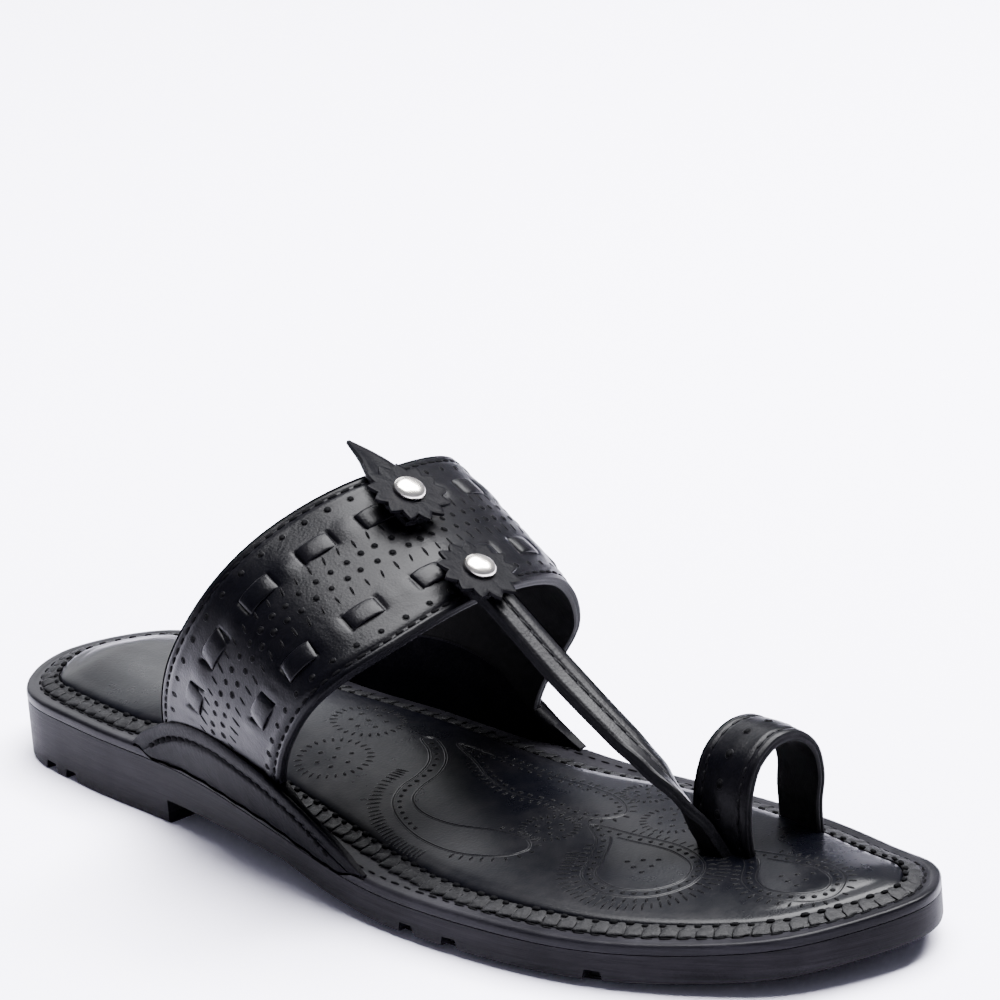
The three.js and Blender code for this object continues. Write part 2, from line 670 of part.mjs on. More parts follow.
/** Named mesh in its finish, at the place that the matrix gives. */
function part(name, geometry, finish, matrix) {
  const mesh = new THREE.Mesh(geometry, new THREE.MeshStandardMaterial(COLOURS[finish]));
  mesh.name = name;
  if (matrix) matrix.decompose(mesh.position, mesh.quaternion, mesh.scale);
  return mesh;
}

const rosetteLift = {
  rear: LEAF.lift + LEAF.thickness + ROSETTE.seat,
  front: STRAP.thickness + ROSETTE.seat,
};

let upper = bandWall().add(strapWall()).add(loopWall());
for (const rivet of RIVETS) upper = upper.subtract(rivetBore(rivet));
const bandRoom = bandWall(GAP);
const toeRoom = strapWall(GAP).add(loopWall(GAP));

let midsole = buildMidsole();
for (const side of Object.keys(EAR_STATIONS)) midsole = midsole.subtract(earWall(side, GAP));

const sandal = new THREE.Group();
sandal.add(part('outsole', geometryOf(buildOutsole()), 'rubber'));
sandal.add(part('midsole', geometryOf(midsole), 'leather'));
sandal.add(part('welt_braid', geometryOf(buildBraid().subtract(toeRoom)), 'leather'));
sandal.add(part('insole', geometryOf(buildInsole().subtract(toeRoom)), 'lining'));
sandal.add(part('upper', geometryOf(upper), 'leather'));
for (const side of Object.keys(EAR_STATIONS)) {
  sandal.add(part(`ear_${side}`, geometryOf(earWall(side).subtract(bandRoom)), 'leather'));
}
sandal.add(part('leaf_tip', geometryOf(buildLeafTip()), 'leather'));
for (const rivet of RIVETS) {
  const height = rosetteLift[rivet.name];
  sandal.add(part(`rosette_${rivet.name}`, rosetteGeometry(), 'leather', rivetPlace(rivet, height)));
  const head = rivetGeometry(height + ROSETTE.thickness);
  sandal.add(part(`rivet_${rivet.name}`, head, 'nickel', rivetPlace(rivet, 0)));
}

// The origin goes to the middle of the whole sandal, on the floor.
sandal.updateMatrixWorld(true);
const extent = new THREE.Box3().setFromObject(sandal, true);
const centre = extent.getCenter(vec(0, 0, 0));
sandal.position.set(-centre.x, -centre.y, 0);

export default sandal;
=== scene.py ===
"""Right-foot kolhapuri sandal in black leather: moulded sole, laced welt, stamped footbed and woven upper."""

import logging
import math
from dataclasses import dataclass, field
from enum import Enum
from typing import Callable, Sequence

import bmesh
import bpy
import numpy as np
from mathutils import Matrix, Vector
from mathutils.bvhtree import BVHTree

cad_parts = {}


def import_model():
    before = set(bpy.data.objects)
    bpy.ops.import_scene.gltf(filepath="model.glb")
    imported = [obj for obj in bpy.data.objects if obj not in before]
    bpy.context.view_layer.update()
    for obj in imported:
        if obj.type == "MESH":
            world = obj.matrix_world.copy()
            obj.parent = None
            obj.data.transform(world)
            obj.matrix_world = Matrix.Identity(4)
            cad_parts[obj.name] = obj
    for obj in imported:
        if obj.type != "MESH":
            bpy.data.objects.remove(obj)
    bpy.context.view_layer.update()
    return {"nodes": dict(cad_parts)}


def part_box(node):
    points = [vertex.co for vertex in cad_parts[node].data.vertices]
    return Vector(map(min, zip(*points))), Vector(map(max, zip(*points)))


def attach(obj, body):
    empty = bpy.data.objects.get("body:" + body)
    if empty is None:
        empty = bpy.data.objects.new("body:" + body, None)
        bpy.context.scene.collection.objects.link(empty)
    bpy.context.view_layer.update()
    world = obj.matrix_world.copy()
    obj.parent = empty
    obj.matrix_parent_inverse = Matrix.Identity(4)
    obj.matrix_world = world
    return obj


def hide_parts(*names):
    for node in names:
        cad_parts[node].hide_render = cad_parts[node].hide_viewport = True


log = logging.getLogger("sandal")

MM = 0.001              # a millimetre in metres
GAP = 0.3               # room left between two pieces, in millimetres
SIDE_STEPS = 46         # facets along one side of the outline
BAND_THICKNESS = 2.4
BAND_WIDTH = 47
Array = np.ndarray
Piece = bpy.types.Object
Finish = bpy.types.Material
Pair = tuple[float, float]
Triple = tuple[float, float, float]


# ---------------------------------------------------------------- small maths
def ease(x: Array, low: float, high: float) -> Array:
    """Smooth step from 0 at low to 1 at high.

    Args:
        x: Where to read the step.
        low: Where the step starts.
        high: Where it ends.

    Returns:
        The step's value at each x.
    """
    t = np.clip((np.asarray(x, float) - low) / (high - low), 0, 1)
    return t * t * (3 - 2 * t)


def hill(x: Array, middle: float, width: float) -> Array:
    """Bell of height 1 at middle that falls off over width."""
    return np.exp(-(((x - middle) / width) ** 2))


def unit(v: Array) -> Array:
    """Vectors of length 1 in the same directions."""
    return v / np.maximum(np.linalg.norm(v, axis=-1, keepdims=True), 1e-12)


def turned(v: Array, axis: Array, angle: Array) -> Array:
    """Vectors at right angles to an axis, turned about it.

    Args:
        v: The vectors.
        axis: Unit axes.
        angle: Turn in radians.

    Returns:
        The turned vectors.
    """
    angle = np.asarray(angle, float)[..., None]
    return v * np.cos(angle) + np.cross(axis, v) * np.sin(angle)


class Curve:
    """Smooth curve that passes through its stations, evenly shared between them."""

    def __init__(self, stations: Sequence[Sequence[float]], closed: bool = False) -> None:
        """Keeps the stations with the neighbours that each stretch needs.

        Args:
            stations: The points to pass through.
            closed: Whether the last one runs on to the first.
        """
        points = np.asarray(stations, float)
        self.closed = closed
        self.stretches = len(points) if closed else len(points) - 1
        if closed:
            self.knots = np.vstack([points[-1:], points, points[:2]])
        else:
            self.knots = np.vstack([2 * points[0] - points[1], points, 2 * points[-1] - points[-2]])

    def at(self, share: Array) -> Array:
        """Points at shares of the curve from 0 to 1."""
        share = np.asarray(share, float)
        place = (share % 1 if self.closed else np.clip(share, 0, 1)) * self.stretches
        i = np.minimum(place.astype(int), self.stretches - 1)
        t = (place - i)[..., None]
        a, b, c, d = (self.knots[i + k] for k in range(4))
        bend = (2 * a - 5 * b + 4 * c - d) * t ** 2 + (3 * b - a - 3 * c + d) * t ** 3
        return 0.5 * (2 * b + (c - a) * t + bend)

    def run(self, share: Array) -> Array:
        """Unit directions of the curve at shares of it."""
        step = 1e-4
        share = np.asarray(share, float)
        if self.closed:
            return unit(self.at(share + step) - self.at(share - step))
        return unit(self.at(np.minimum(share + step, 1)) - self.at(np.maximum(share - step, 0)))


# ---------------------------------------------------------------- mesh making
def shell(rows: int, count: int) -> tuple[Array, list[list[int]]]:
    """Corner numbers of closed rows of points, and the faces between neighbouring rows.

    Args:
        rows: Number of rows.
        count: Points in each.

    Returns:
        The corner numbers, one row for each row of points, and the faces.
    """
    index = np.arange(rows * count).reshape(rows, count)
    beside = np.roll(index, -1, axis=1)
    return index, np.stack([index[:-1], beside[:-1], beside[1:], index[1:]], axis=-1).reshape(-1, 4).tolist()


def show(name: str, data: bpy.types.ID) -> Piece:
    """A new object in the scene, at the origin, that holds this data."""
    made = bpy.data.objects.new(name, data)
    bpy.context.scene.collection.objects.link(made)
    return made


def dress(piece: Piece, *finishes: Finish) -> None:
    """Adds finishes to a piece."""
    for finish in finishes:
        piece.data.materials.append(finish)


class Bench:
    """Turns places in the sole's own millimetres into meshes in the row frame."""

    def __init__(self, heel: Array) -> None:
        """Keeps the offset between the two frames.

        Args:
            heel: Where the back of the heel's centre line lies in the row frame, in millimetres.
        """
        self.heel = np.array([heel[0], heel[1], 0.0])

    def row(self, points: Array) -> Array:
        """Places in the row frame, in metres."""
        return (np.asarray(points, float) + self.heel) * MM

    def piece(self, name: str, points: Array, faces: Sequence[Sequence[int]],
              sharp: float = 40) -> Piece:
        """A smooth-shaded object from points in the sole's millimetres.

        Args:
            name: The object's name.
            points: Its corners.
            faces: Corner numbers of each face.
            sharp: Angle in degrees above which an edge stays crisp.

        Returns:
            The new object, at the origin, with its place in its mesh.
        """
        mesh = bpy.data.meshes.new(name)
        mesh.from_pydata(self.row(points).tolist(), [], [list(map(int, face)) for face in faces])
        mesh.update()
        piece = show(name, mesh)
        self.tidy(piece, sharp)
        return piece

    @staticmethod
    def tidy(piece: Piece, sharp: float = 40) -> None:
        """Turns a closed shell's faces outwards, smooths it and keeps its crisp edges."""
        bm = bmesh.new()
        bm.from_mesh(piece.data)
        bmesh.ops.recalc_face_normals(bm, faces=bm.faces)
        limit = math.radians(sharp)
        for face in bm.faces:
            face.smooth = True
        for edge in bm.edges:
            edge.smooth = len(edge.link_faces) != 2 or edge.calc_face_angle(0.0) < limit
        bm.to_mesh(piece.data)
        bm.free()

    def tube(self, name: str, sections: Array, kinds: Sequence[int] = (), sharp: float = 40) -> Piece:
        """A closed skin over equal closed sections, its two ends closed by fans.

        Args:
            name: The object's name.
            sections: Points, one row for each section.
            kinds: Material number of each lengthwise strip, or nothing for one material.
            sharp: Angle above which an edge stays crisp.

        Returns:
            The new object.
        """
        rows, count = sections.shape[:2]
        index, faces = shell(rows, count)
        hubs = np.stack([sections[0].mean(axis=0), sections[-1].mean(axis=0)])
        for hub, ring in ((rows * count, index[0]), (rows * count + 1, index[-1])):
            faces += [[hub, a, b] for a, b in zip(ring, np.roll(ring, -1))]
        piece = self.piece(name, np.vstack([sections.reshape(-1, 3), hubs]), faces, sharp)
        if len(kinds):
            numbers = np.concatenate([np.tile(np.asarray(kinds), rows - 1), np.full(2 * count, max(kinds))])
            piece.data.polygons.foreach_set("material_index", numbers.astype(np.int32))
        return piece

    def loaf(self, name: str, rings: Array, sharp: float = 40) -> Piece:
        """A closed body of outline rings stacked upwards, closed by strips across the sole.

        Args:
            name: The object's name.
            rings: Points, one row for each ring, each starting at the heel tip.
            sharp: Angle above which an edge stays crisp.

        Returns:
            The new object.
        """
        rows, count = rings.shape[:2]
        index, faces = shell(rows, count)
        half = count // 2
        for ring in (index[0], index[-1]):
            faces.append([ring[0], ring[1], ring[-1]])
            faces += [[ring[i], ring[i + 1], ring[count - i - 1], ring[count - i]]
                      for i in range(1, half - 1)]
            faces.append([ring[half - 1], ring[half], ring[half + 1]])
        return self.piece(name, rings.reshape(-1, 3), faces, sharp)

    def hoop(self, name: str, rings: Array, sharp: float = 40) -> Piece:
        """A closed ring-shaped body, its outline rings running round its section."""
        rows, count = rings.shape[:2]
        index = np.arange(rows * count).reshape(rows, count)
        beside = np.roll(index, -1, axis=1)
        after = np.roll(index, -1, axis=0)
        past = np.roll(beside, -1, axis=0)
        faces = np.stack([index, beside, past, after], axis=-1).reshape(-1, 4).tolist()
        return self.piece(name, rings.reshape(-1, 3), faces, sharp)

    @staticmethod
    def carve(piece: Piece, tool: Piece, how: str = "DIFFERENCE",
              sharp: float = 35) -> None:
        """Cuts a tool body out of a piece, or joins it on, and throws the tool away.

        Args:
            piece: The body to change.
            tool: The body to cut or join with.
            how: The kind of boolean.
            sharp: Angle above which an edge stays crisp afterwards.
        """
        cut = piece.modifiers.new("carve", "BOOLEAN")
        cut.operation = how
        cut.object = tool
        cut.solver = "EXACT"
        graph = bpy.context.evaluated_depsgraph_get()
        mesh = bpy.data.meshes.new_from_object(piece.evaluated_get(graph))
        piece.modifiers.clear()
        piece.data = mesh
        bpy.data.objects.remove(tool)
        Bench.tidy(piece, sharp)

    def lathe(self, name: str, profile: Sequence[Sequence[float]], steps: int, place: Array) -> Piece:
        """A turned body that stands on a place.

        Args:
            name: The object's name.
            profile: Radius and height pairs from the bottom axis point to the top one.
            steps: Facets round it.
            place: 4 by 4 matrix of the stand, in the sole's millimetres.

        Returns:
            The new object.
        """
        angle = np.linspace(0, 2 * np.pi, steps, endpoint=False)
        body = np.array(profile[1:-1], float)
        grid = np.stack([body[:, :1] * np.cos(angle), body[:, :1] * np.sin(angle),
                         np.repeat(body[:, 1:], steps, axis=1)], axis=-1)
        poles = np.array([[0, 0, profile[0][1]], [0, 0, profile[-1][1]]], float)
        rows = len(body)
        index, faces = shell(rows, steps)
        faces += [[rows * steps, b, a] for a, b in zip(index[0], np.roll(index[0], -1))]
        faces += [[rows * steps + 1, a, b] for a, b in zip(index[-1], np.roll(index[-1], -1))]
        points = np.vstack([grid.reshape(-1, 3), poles])
        return self.piece(name, points @ place[:3, :3].T + place[:3, 3], faces, 50)


# ---------------------------------------------------------------- shader writing
class Wire:
    """A shader socket that Python arithmetic can be done with."""

    def __init__(self, desk: "Desk", socket: bpy.types.NodeSocket) -> None:
        """Wraps a socket.

        Args:
            desk: The desk that owns it.
            socket: The output socket.
        """
        self.desk = desk
        self.socket = socket

    def _math(self, operation: str, *values: object) -> "Wire":
        """Adds a Math node on these values."""
        return self.desk.add("ShaderNodeMath", {"operation": operation}, dict(enumerate(values)))

    def __add__(self, other: object) -> "Wire":
        """Sum."""
        return self._math("ADD", self, other)

    def __radd__(self, other: object) -> "Wire":
        """Sum, the other way round."""
        return self._math("ADD", other, self)

    def __sub__(self, other: object) -> "Wire":
        """Difference."""
        return self._math("SUBTRACT", self, other)

    def __rsub__(self, other: object) -> "Wire":
        """Difference, the other way round."""
        return self._math("SUBTRACT", other, self)

    def __mul__(self, other: object) -> "Wire":
        """Product."""
        return self._math("MULTIPLY", self, other)

    def __rmul__(self, other: object) -> "Wire":
        """Product, the other way round."""
        return self._math("MULTIPLY", other, self)

    def between(self, low: float, high: float) -> "Wire":
        """Smooth step from 0 at low to 1 at high."""
        values = {"Value": self, "From Min": low, "From Max": high}
        return self.desk.add("ShaderNodeMapRange", {"interpolation_type": "SMOOTHSTEP"}, values)


class Desk:
    """One material's node tree, written node by node."""

    def __init__(self, name: str) -> None:
        """Starts an empty material of that name."""
        self.material = bpy.data.materials.new(name)
        self.material.use_nodes = True
        self.tree = self.material.node_tree
        self.tree.nodes.clear()

    def add(self, kind: str, settings: dict | None = None, values: dict | None = None,
            out: int | str = 0) -> Wire:
        """Adds a node.

        Args:
            kind: The node's type.
            settings: Properties to set first.
            values: Values or wires for its inputs, by name or number.
            out: Which output to give back.

        Returns:
            That output as a wire.
        """
        node = self.tree.nodes.new(kind)
        for key, value in (settings or {}).items():
            setattr(node, key, value)
        for key, value in (values or {}).items():
            socket = node.inputs[key]
            if isinstance(value, Wire):
                self.tree.links.new(value.socket, socket)
            else:
                socket.default_value = value
        return Wire(self, node.outputs[out])

    def place(self, scale: Sequence[float] = (1, 1, 1)) -> Wire:
        """Object coordinates, stretched by scale."""
        coordinates = self.add("ShaderNodeTexCoord", out="Object")
        return self.add("ShaderNodeMapping", {}, {"Vector": coordinates, "Scale": tuple(scale)})

    def noise(self, where: Wire, scale: float, detail: float = 3, rough: float = 0.5,
              bend: float = 0) -> Wire:
        """Cloudy noise.

        Args:
            where: Coordinates.
            scale: Clouds to a metre.
            detail: Octaves.
            rough: Weight of the finer octaves.
            bend: How far the noise distorts itself.

        Returns:
            Its value from 0 to 1.
        """
        values = {"Vector": where, "Scale": scale, "Detail": detail, "Roughness": rough, "Distortion": bend}
        return self.add("ShaderNodeTexNoise", {}, values)

    def cells(self, where: Wire, scale: float) -> Wire:
        """Distance pattern of irregular cells, scale of them to a metre."""
        return self.add("ShaderNodeTexVoronoi", {}, {"Vector": where, "Scale": scale})

    def blend(self, share: Wire | float, low: Sequence[float], high: Sequence[float]) -> Wire:
        """Colour between low and high."""
        return self.add("ShaderNodeMix", {"data_type": "RGBA"}, {0: share, 6: (*low, 1), 7: (*high, 1)}, 2)

    def bump(self, height: Wire, depth: float, strength: float = 1, under: Wire | None = None) -> Wire:
        """Normal of a relief.

        Args:
            height: Relief from 0 to 1.
            depth: Its depth in metres.
            strength: Share of it that shows.
            under: A coarser normal that it lies on.

        Returns:
            The normal.
        """
        values = {"Height": height, "Distance": depth, "Strength": strength}
        if under is not None:
            values["Normal"] = under
        return self.add("ShaderNodeBump", {}, values)

    def finish(self, **sockets: object) -> Finish:
        """Closes the tree with a Principled shader.

        Args:
            **sockets: Its inputs, with underscores for blanks.

        Returns:
            The material.
        """
        values = {key.replace("_", " "): value for key, value in sockets.items()}
        shader = self.add("ShaderNodeBsdfPrincipled", {}, values)
        end = self.tree.nodes.new("ShaderNodeOutputMaterial")
        self.tree.links.new(shader.socket, end.inputs["Surface"])
        return self.material


# ---------------------------------------------------------------- finishes
@dataclass(frozen=True)
class Hide:
    """Smooth black leather with a fine pebble, faint creases and rubbed high spots."""
    name: str
    tone: Triple = (0.0006, 0.0006, 0.0012)
    rubbed: Triple = (0.0022, 0.002, 0.0027)
    gloss: float = 0.33
    shine: float = 0.055
    pebble: float = 1500
    depth: float = 0.00007
    crease: float = 0.00022

    def material(self) -> Finish:
        """Builds the material."""
        desk = Desk(self.name)
        where = desk.place()
        clouds = desk.noise(where, 45, 4, 0.6)
        mottle = desk.noise(where, 260, 3, 0.6)
        pores = desk.cells(where, self.pebble)
        fine = desk.noise(where, self.pebble * 2.3, 2, 0.6)
        folds = desk.noise(desk.place((1, 0.35, 1)), 150, 5, 0.62, 1.2)
        relief = pores * 0.6 + fine * 0.4
        base = desk.bump(folds, self.crease, 0.55)
        normal = desk.bump(relief, self.depth, 0.75, base)
        wear = (clouds * 0.6 + mottle * 0.4).between(0.42, 0.72)
        colour = desk.blend(wear, self.tone, self.rubbed)
        rough = self.gloss + clouds * 0.16 + mottle * 0.1 - 0.11
        return desk.finish(Base_Color=colour, Roughness=rough, Normal=normal,
                           Specular_IOR_Level=self.shine)


@dataclass(frozen=True)
class Rubber:
    """Moulded black rubber whose sides were buffed lengthwise."""
    name: str
    tone: Triple = (0.0022, 0.002, 0.0028)
    pale: Triple = (0.0095, 0.0088, 0.0105)
    rough: float = 0.5
    depth: float = 0.00022
    shine: float = 0.04

    def material(self) -> Finish:
        """Builds the material."""
        desk = Desk(self.name)
        lengthwise = desk.place((1, 1, 26))
        streaks = desk.noise(lengthwise, 34, 5, 0.66, 0.4)
        hair = desk.noise(desk.place((1, 1, 30)), 120, 3, 0.6)
        grit = desk.noise(desk.place(), 1700, 2, 0.6)
        clouds = desk.noise(desk.place(), 28, 3, 0.6)
        relief = desk.bump(streaks * 0.6 + hair * 0.4, self.depth, 0.8)
        normal = desk.bump(grit, 0.00004, 0.5, relief)
        dust = (streaks * 0.5 + clouds * 0.5).between(0.4, 0.68)
        colour = desk.blend(dust, self.tone, self.pale)
        return desk.finish(Base_Color=colour, Roughness=self.rough + streaks * 0.2 - 0.1, Normal=normal,
                           Specular_IOR_Level=self.shine)


@dataclass(frozen=True)
class Frayed:
    """Dry, fibrous leather of the lacing and of cut edges."""
    name: str
    tone: Triple = (0.0015, 0.0015, 0.002)
    pale: Triple = (0.0085, 0.0082, 0.0096)
    rough: float = 0.5
    fibre: float = 1100
    depth: float = 0.00025
    shine: float = 0.07
    share: Pair = (0.48, 0.7)

    def material(self) -> Finish:
        """Builds the material."""
        desk = Desk(self.name)
        where = desk.place()
        fibres = desk.noise(where, self.fibre, 4, 0.7, 1.5)
        lumps = desk.noise(where, 420, 3, 0.6, 0.8)
        normal = desk.bump(fibres * 0.5 + lumps * 0.5, self.depth, 0.9)
        colour = desk.blend((fibres * 0.55 + lumps * 0.45).between(*self.share), self.tone, self.pale)
        return desk.finish(Base_Color=colour, Roughness=self.rough + fibres * 0.25 - 0.1, Normal=normal,
                           Specular_IOR_Level=self.shine)


@dataclass(frozen=True)
class Thread:
    """Waxed black sewing thread."""
    name: str
    tone: Triple = (0.0006, 0.0006, 0.001)
    pale: Triple = (0.0025, 0.0025, 0.0034)

    def material(self) -> Finish:
        """Builds the material."""
        desk = Desk(self.name)
        twist = desk.noise(desk.place(), 2400, 2, 0.5, 2)
        return desk.finish(Base_Color=desk.blend(twist, self.tone, self.pale), Roughness=0.38 + twist * 0.25,
                           Normal=desk.bump(twist, 0.0001, 0.8), Specular_IOR_Level=0.05)


@dataclass(frozen=True)
class Shade:
    """Painted shade: near-black matt colour for the bottom of a punched hole or pressed mark, and for sewing
    and lace gaps, where there would only be shade.
    """
    name: str
    tone: Triple = (0.0006, 0.0006, 0.0008)
    rim: Triple = (0.0016, 0.0016, 0.002)
    shine: float = 0.02

    def material(self) -> Finish:
        """Builds the material."""
        desk = Desk(self.name)
        # Painted shade, faintly mottled between tone and rim.
        shade_mottle = desk.noise(desk.place(), 900, 2, 0.5)
        return desk.finish(Base_Color=desk.blend(shade_mottle, self.tone, self.rim), Roughness=0.6 + shade_mottle * 0.3,
                           Normal=desk.bump(shade_mottle, 0.0001, 0.6), Specular_IOR_Level=self.shine)


@dataclass(frozen=True)
class Nickel:
    """Polished nickel plate with hair scratches."""
    name: str
    tone: Triple = (0.83, 0.79, 0.72)
    dull: Triple = (0.62, 0.58, 0.53)

    def material(self) -> Finish:
        """Builds the material."""
        desk = Desk(self.name)
        hairs = desk.noise(desk.place((1, 0.05, 1)), 2600, 3, 0.7)
        stain = desk.noise(desk.place(), 420, 3, 0.6)
        colour = desk.blend(stain.between(0.4, 0.8), self.tone, self.dull)
        return desk.finish(Base_Color=colour, Metallic=1.0, Roughness=0.14 + stain * 0.12 + hairs * 0.05,
                           Normal=desk.bump(hairs, 0.00002, 0.3))


@dataclass(frozen=True)
class Sweep:
    """Pale matt studio floor."""
    name: str
    tone: Triple = (0.825, 0.805, 0.93)

    def material(self) -> Finish:
        """Builds the material."""
        desk = Desk(self.name)
        haze = desk.noise(desk.place(), 1.5, 1, 0.4)
        colour = desk.blend(haze, self.tone, tuple(c * 0.985 for c in self.tone))
        return desk.finish(Base_Color=colour, Roughness=0.55, Specular_IOR_Level=0.25)


class Wardrobe:
    """Every finish of the sandal, each made once."""

    def __init__(self) -> None:
        """Makes the materials."""
        self.strap = Hide("strap leather").material()
        self.trim = Hide("trim leather", gloss=0.4, shine=0.017, pebble=1300, depth=0.0001,
                         crease=0.0002).material()
        self.bed = Hide("footbed leather", tone=(0.0005, 0.0006, 0.0014), gloss=0.28, depth=0.00003,
                        crease=0.00004, shine=0.075).material()
        self.lining = Hide("lining leather", tone=(0.0005, 0.0004, 0.0008), rubbed=(0.0014, 0.0012, 0.0016),
                           shine=0.08, gloss=0.6, pebble=1900).material()
        self.edge = Frayed("cut edge", tone=(0.002, 0.002, 0.0026), pale=(0.006, 0.0057, 0.007),
                           shine=0.03, fibre=1700, depth=0.00012).material()
        self.lace = Frayed("welt lace").material()
        # The seat's pale is darker than the lace's: the leather's own tone plus painted shade under the
        # loops.
        self.welt = Frayed("welt seat", pale=(0.006, 0.006, 0.007)).material()
        self.rim = Rubber("rim edge", tone=(0.002, 0.0019, 0.0027), pale=(0.009, 0.0085, 0.0105), rough=0.33,
                          depth=0.00015).material()
        self.sole = Rubber("sole rubber").material()
        self.thread = Thread("waxed thread").material()
        # Painted shade: near-black finishes for the insides of punched holes and pressed marks, for sewing in
        # grooves and for the gaps in the lacing.
        self.shade = Shade("punched hole").material()
        self.pressed = Shade("pressed mark", tone=(0.001, 0.001, 0.0014), rim=(0.0025, 0.0025, 0.003),
                             shine=0.03).material()
        self.nickel = Nickel("rivet nickel").material()


# ---------------------------------------------------------------- repeated shapes
class Spread(Enum):
    """How a repeated shape is laid out."""
    ALONG = "along a path, at a pitch"
    AT = "at given places"


@dataclass
class Layout:
    """Places for a repeated shape, with the direction that each faces and runs in."""
    points: Array
    facing: Array
    heading: Array
    closed: bool = False


@dataclass
class Repeat:
    """How often and how unevenly a shape is repeated."""
    pitch: float = 4.0
    scale: Triple = (1, 1, 1)
    uneven: float = 0.06
    sway: float = 0.06
    slant: float = 0.0
    ruffle: float = 0.0
    seed: int = 1


